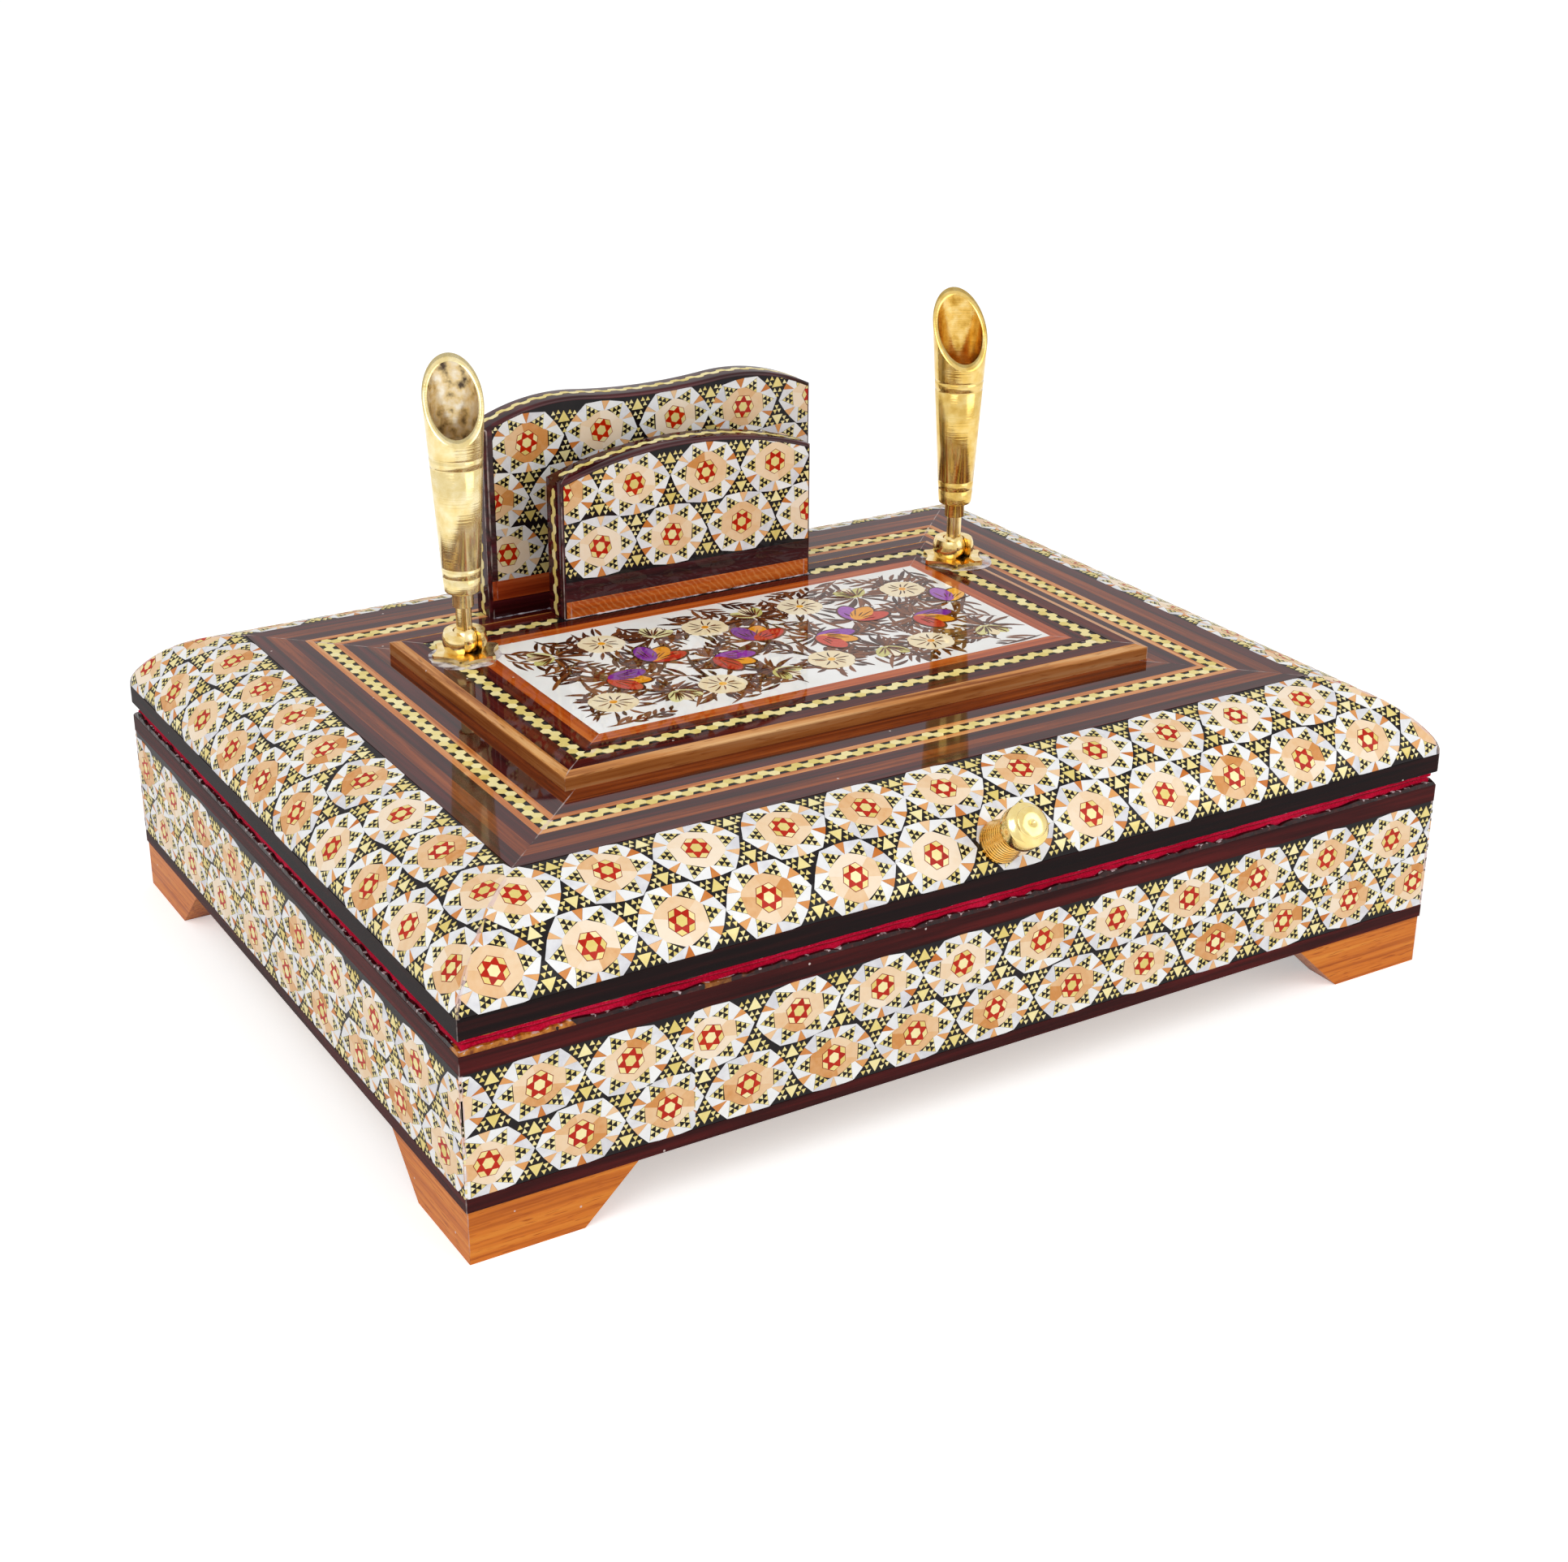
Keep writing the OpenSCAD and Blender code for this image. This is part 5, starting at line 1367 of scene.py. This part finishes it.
# %% Painting as one mesh
def films(strokes):
    """Closed films from left and right borders: rings of two points above and two below, and end caps."""
    left, right, pigment, rise = (np.concatenate(part) for part in zip(*strokes))
    fits = (np.abs((left + right) / 2) < PANEL_HALF - 0.8).all(2).mean(1) > 0.6
    left, right = (np.clip(border[fits], 0.15 - PANEL_HALF, PANEL_HALF - 0.15) for border in (left, right))
    pigment, rise = pigment[fits], rise[fits]
    count, along = left.shape[:2]
    flat = np.stack([left, right, right, left], 2) + PANEL_MID
    height = PANEL_TOP + rise[:, None, None] * np.array([1, 1, 0, 0]) - 0.05 * np.array([0, 0, 1, 1])
    rings = np.concatenate([flat, np.broadcast_to(height[..., None], (*flat.shape[:3], 1))], -1)
    one = np.array(tube(rings[0])[1])
    faces = (np.arange(count)[:, None, None] * along * 4 + one).reshape(-1, 4)
    tint = np.repeat(paint.random(count), along * 4)
    return rings.reshape(-1, 3), faces.tolist(), np.repeat(pigment, len(one)), tint


POLISH = dict(Coat_Weight=0.7, Coat_Roughness=0.03, Specular_IOR_Level=0.0, Roughness=0.5)
pigments = []
for name, stops in (("brown ink", ("#31160a", "#5c2d12", "#8c5022")),
                    ("cream paint", ("#eed9ae", "#f3e3bf", "#f8eed6")),
                    ("scarlet paint", ("#a8200f", "#c8371c", "#d8553a")),
                    ("saffron paint", ("#dd8a10", "#efa41f", "#f4bd4c")),
                    ("violet paint", ("#6a1f86", "#8a35a5", "#a860bd")),
                    ("leaf paint", ("#bdb45a", "#d8d189", "#e9e4b4"))):
    made, tree, shader = material(name, **POLISH)
    wash = maths(tree, "MULTIPLY", noise(tree, 900.0, 3.0), 0.5)
    depth = maths(tree, "MULTIPLY_ADD", tint_of(tree), 0.5, wash)
    colour_in(tree, shader, ramp(tree, depth, *zip((0.2, 0.5, 0.8), stops)))
    pigments.append(made)
points, faces, owners, tint = films(painted)
piece("painting", points, faces, pigments, "lid", owners, tint=tint)
ground, tree, shader = material("bone-white ground", **POLISH)
cloudy = noise(tree, 90.0, 5.0)
colour_in(tree, shader, ramp(tree, cloudy, (0.3, "#ebeae6"), (0.5, "#f0f0ee"), (0.7, "#f4f4f3")))
dress(ground, "picture_panel")
print("painting:", len(faces), "faces")

# %% [markdown]
# ## Velvet
# Crimson velvet lines the box and the lid and covers both rims; its edge is the red line in the seam.
# Cloth that is glued down lies almost flat, so simulation would add nothing: each piece is worked out as
# a thin closed sheet with a slow wave in it. The pile is in the finish: a rim of sheen, and a nap that
# lightens where it is brushed.

# %% Velvet finish and cloth shapes
velvet, tree, shader = material("crimson velvet", Roughness=0.95, Sheen_Weight=0.6, Sheen_Roughness=0.35,
                                Sheen_Tint=srgb("#ff7a92"), Specular_IOR_Level=0.05)
nap, pile = noise(tree, 45.0, 5.0), noise(tree, 2600.0, 2.0)
mixed = maths(tree, "MULTIPLY_ADD", pile, 0.45, maths(tree, "MULTIPLY", nap, 0.55))
colour_in(tree, shader, ramp(tree, mixed, (0.35, "#9c0524"), (0.5, "#c80a33"), (0.65, "#e0244d")))
bump_in(tree, shader, pile, 0.6, 0.0003)
SIDE_STEPS = 120
INNER_IN = box_mm("wall_lining")[0][0] + BOX_HALF_W
cloth_rng = np.random.default_rng(5)


def wave(s, slow, quick):
    """A closed wave, mostly within -1 and 1, along s from 0 to 1: 1.8 times the mean of nine sines."""
    turns = cloth_rng.integers(slow, quick, 9)
    phase = cloth_rng.uniform(0, 2 * math.pi, 9)
    return np.sin(2 * math.pi * turns * s[:, None] + phase).mean(1) * 1.8


def way_round(inset):
    """Points round the box: corner + (inset + t (length - 2 inset)) along - inset outwards."""
    t = np.linspace(0, 1, SIDE_STEPS, endpoint=False)
    parts = []
    for (side, (corner, along, out)), some in zip(SIDES.items(), np.split(inset, 4)):
        run = some + t * (side_length(side) - 2 * some)
        parts.append(corner + run[:, None] * along - some[:, None] * out)
    return np.concatenate(parts)


AROUND = np.arange(4 * SIDE_STEPS) / (4 * SIDE_STEPS)
HINGE_X = 70.0
low, high = box_mm("hinge_box_leaves")
HINGE_HALF, HINGE_DEEP = high[0] - HINGE_X, BOX_BACK - low[1]
plain = way_round(np.zeros(4 * SIDE_STEPS))
AT_HINGE = (np.abs(np.abs(plain[:, 0]) - HINGE_X) < HINGE_HALF + 2.5) & (plain[:, 1] > BOX_BACK - 1)


def hoop(profile):
    """A closed ring of cloth or lacquer: for each point of its section, insets and heights round the box."""
    corners = [np.concatenate([way_round(inset), height[:, None]], 1) for inset, height in profile]
    return closed_ring(np.stack(corners, 1))


def soft_strip(inner, outer, bottom, top, soft):
    """The section of a strip with its outer corners rounded by soft."""
    return [(inner, top), (outer + soft, top), (outer, top - soft), (outer, bottom + soft),
            (outer + soft, bottom), (inner, bottom)]


print("cloth shapes ready; hinge leaves are", round(2 * HINGE_HALF), "mm long")

# %% [markdown]
# The two rims stop short of the hinge leaves, as the real strips are cut out round them.

# %% Velvet on the rims and walls
RIM_Z, LID_Z = box_mm("rim_velvet")[0][2], box_mm("lid_rim_velvet")[1][2]
SEAM_MIDDLE = (RIM_Z + LID_Z) / 2
full = np.ones(4 * SIDE_STEPS)


def velvet_rim(name, node, body, inner, bottom, top):
    """A strip of velvet on a rim, with a slightly wavy outer edge."""
    outer = np.where(AT_HINGE, HINGE_DEEP + 0.4, 1.15 + 0.2 * wave(AROUND, 20, 140))
    points, faces = hoop(soft_strip(inner * full, outer, bottom, top, 0.3))
    made = piece(name, points, faces, [velvet], body, replaces=(node,))


velvet_rim("velvet_rim", "rim_velvet", "box", INNER_IN + 1.2, RIM_Z * full,
           SEAM_MIDDLE - 0.1 - 0.1 * np.abs(wave(AROUND, 10, 90)))
velvet_rim("velvet_lid_rim", "lid_rim_velvet", "lid", INNER_IN,
           SEAM_MIDDLE + 0.05 + 0.1 * np.abs(wave(AROUND, 10, 90)), LID_Z * full)
low, high = box_mm("wall_lining")
face_in = INNER_IN + 1.05 + 0.12 * wave(AROUND, 4, 30)
glued, upper, lower = (INNER_IN + 0.02) * full, RIM_Z * full - 0.05, low[2] * full
points, faces = hoop([(face_in, upper), (glued, upper), (glued, lower), (face_in, lower)])
made = piece("velvet_walls", points, faces, [velvet], "box", replaces=("wall_lining",))


# %% [markdown]
# The floor and the inside of the lid are each a grid: the floor's cloth is crowned a little between its
# edges, and the lid's follows the sloping inside of the rails up to the panel.

# %% Velvet on the floor and in the lid
def cloth_grid(xs, ys, lower, upper):
    """A closed sheet between two heights on a grid: each row of x is a ring, over the top and back below."""
    across = np.stack(np.meshgrid(xs, ys, indexing="ij"), -1)
    over = np.concatenate([across, upper(across)[..., None]], -1)
    under = np.concatenate([across, lower(across)[..., None]], -1)
    return tube(np.concatenate([over[:, ::-1], under], 1))


def ease(count, low, high):
    """Places between two ends, closer near the ends: the middle less half the length times a cosine."""
    return (low + high) / 2 - (high - low) / 2 * np.cos(np.linspace(0, math.pi, count))


def from_edge(p, low, high):
    """Distance of flat points from the nearest side of a rectangle."""
    return np.minimum(p - low[:2], high[:2] - p).min(-1)


low, high = box_mm("floor_lining")
phase = cloth_rng.uniform(0, 6, 4)


def floor_top(p):
    """The cloth's thickness, a slow swell, and a fall at the edges."""
    edge = from_edge(p, low, high)
    swell = np.sin(p[..., 0] / 17 + phase[0] + np.sin(p[..., 1] / 23)) * np.sin(p[..., 1] / 14 + phase[1])
    return high[2] - 0.25 + 0.2 * swell * np.clip(edge / 12, 0, 1) - 0.4 * np.exp(-edge / 1.2)


points, faces = cloth_grid(ease(90, low[0] + 0.05, high[0] - 0.05), ease(70, low[1] + 0.05, high[1] - 0.05),
                           lambda p: np.full(p.shape[:2], low[2]), floor_top)
made = piece("velvet_floor", points, faces, [velvet], "box", replaces=("floor_lining",))
made.data.shade_smooth()

low, high = box_mm("lid_lining")
PANEL_LOW = high[2] - low[2]
RAIL_SLOPE = PANEL_LOW / (box_mm("lid_panel")[0][0] - low[0])


def lid_roof(p, thick):
    """The hollow of the lid less a thickness: a slope from each rail up to the flat panel."""
    edge = from_edge(p, low, high)
    swell = 0.1 * np.sin(p[..., 0] / 15 + phase[2]) * np.sin(p[..., 1] / 19 + phase[3])
    rise = edge * RAIL_SLOPE - thick * math.sqrt(1 + RAIL_SLOPE ** 2)
    return low[2] + np.clip(rise, 0, PANEL_LOW - thick) + (thick > 0.5) * swell * np.clip(edge / 20, 0, 1)


points, faces = cloth_grid(ease(110, low[0], high[0]), ease(90, low[1], high[1]),
                           lambda p: lid_roof(p, 1.05), lambda p: lid_roof(p, 0.03) + 0.01)
made = piece("velvet_lid", points, faces, [velvet], "lid", replaces=("lid_lining",))
made.data.shade_smooth()
print("velvet floor and lid laid")

# %% [markdown]
# ## Lacquer in the seam
# Along the box's upper edge the lacquer was cut through when the lid was freed. It stands as a ragged
# dark lip with pale broken glints, and near the left corner raw orange wood shows. The lip is a hoop like
# the rim, whose height wanders; the height of each point on the lip is kept as its tint, so that the
# glints can follow the torn edge.

# %% Ragged lips
BARE_FROM, BARE_FULL = -0.06, -0.08     # metres along x where raw wood begins to show, and shows fully
torn, tree, shader = material(
    "torn lacquer", Roughness=0.4, Coat_Weight=0.3, Coat_Roughness=0.1, Specular_IOR_Level=0.1)
crumb, patch = noise(tree, 700.0, 5.0), noise(tree, 75.0, 3.0)
x, y, _ = object_xyz(tree)
at_left = spread_out(tree, x, BARE_FROM, BARE_FULL)
bare = maths(tree, "MULTIPLY", maths(tree, "GREATER_THAN", patch, 0.47), at_left)
bare = maths(tree, "MULTIPLY", bare, maths(tree, "LESS_THAN", y, BOX_FRONT * MM + 0.004))
colour = ramp(tree, crumb, (0.35, "#120608"), (0.55, "#2e0f0d"), (0.75, "#54211a"))
colour = blend(tree, bare, colour, ramp(tree, crumb, (0.3, "#6e3208"), (0.5, "#b36a1e"), (0.7, "#d08f3e")))
torn_edge = maths(tree, "MULTIPLY_ADD", tint_of(tree), 0.16, crumb)
glint = maths(tree, "MULTIPLY", maths(tree, "GREATER_THAN", torn_edge, 0.74), 0.7)
colour_in(tree, shader, blend(tree, glint, colour, srgb("#cfc3c6")))
bump_in(tree, shader, crumb, 0.8, 0.0004)


def lip(name, body, edge, away, tall, ragged):
    """A thin torn fence on an edge: away is up or down, tall its mean height, ragged how far it wanders."""
    height = tall + ragged * wave(AROUND, 40, 220)
    height = edge + away * np.where(AT_HINGE, 0.02, np.clip(height, 0.08, 1.75))
    proud = 0.12 + 0.1 * wave(AROUND, 60, 230)
    section = [(full, height), (proud + 0.15, height), (0.06 * full, edge * full), (full, edge * full)]
    points, faces = hoop(section if away > 0 else section[::-1])
    tint = np.tile([1.0, 1.0, 0.0, 0.0] if away > 0 else [0.0, 0.0, 1.0, 1.0], len(AROUND))
    piece(name, points, faces, [torn], body, tint=tint)


lip("seam_lip", "box", RIM_Z, 1, 0.85, 0.55)
lip("seam_lip_lid", "lid", LID_Z, -1, 0.2, 0.2)
print("seam lips made")

# %% [markdown]
# ## Glue round the pen bases and under the plates
# The bases were set in too much glue, and a whitish smear shows round each flange. It is a film with a
# ragged border, thin enough to let the wood show through. A thin bead of the same glue lies along the
# foot of each plate.

# %% Glue smears
smear, tree, shader = material("dried glue", Roughness=0.35, Coat_Weight=0.4, Coat_Roughness=0.05)
cloud = noise(tree, 380.0, 5.0)
colour_in(tree, shader, ramp(tree, cloud, (0.35, "#b9afc0"), (0.6, "#e6e1e8")))
tree.links.new(spread_out(tree, cloud, 0.36, 0.6, To_Min=0.05, To_Max=0.8), shader.inputs["Alpha"])
SMEAR_IN, SMEAR_OUT = 5.6, 8.3         # radii of a smear
FILM_TOP, FILM_ROOT = 0.03, -0.02      # heights of the film's two sides over the wood
for side, heavy in (("left", 4.1), ("right", 5.4)):
    lobe = 2.0 * np.clip(np.cos(TURN - heavy), 0, 1) ** 2
    outer = SMEAR_OUT + 0.5 * wave(TURN / (2 * math.pi), 2, 17) + lobe
    inner = np.full(STEPS_ROUND, SMEAR_IN)
    corners = []
    for radius, rise in ((inner, FILM_TOP), (outer, FILM_TOP), (outer, FILM_ROOT), (inner, FILM_ROOT)):
        level = polar(radius, TURN) + [PEN_X[side], PEN_Y]
        corners.append(np.concatenate([level, np.full((STEPS_ROUND, 1), PLINTH_TOP + rise)], 1))
    points, faces = closed_ring(np.stack(corners, 1))
    piece("glue_" + side, points, faces, [smear], "lid")


BEAD_STEPS, BEAD_SHORT = 160, 0.4      # rings of a bead, and how far it stops short of the plate's end


def glue_bead(name, node, half, wide):
    """A bead of glue along a plate's foot: rings of three points walked along x, its width wandering."""
    _, front, foot = box_mm(node)[0]
    x = np.linspace(-half, half, BEAD_STEPS)
    reach = wide * (0.75 + 0.4 * wave(np.linspace(0, 0.97, BEAD_STEPS), 3, 40))
    same = np.ones(BEAD_STEPS)
    rings = np.stack([np.stack([x, (front + 0.05) * same, foot + 0.6 * reach], -1),
                      np.stack([x, front - reach, (foot + FILM_TOP) * same], -1),
                      np.stack([x, (front + 0.05) * same, (foot + FILM_ROOT) * same], -1)], 1)
    points, faces = tube(rings)
    piece(name, points, faces, [smear], "lid")


glue_bead("glue_foot_front", "card_front_plate", FRONT_PLATE_HALF - BEAD_SHORT, 0.5)
glue_bead("glue_foot_rear", "card_rear_plate", REAR_PLATE_HALF - BEAD_SHORT, 0.4)
print("glue smears made")
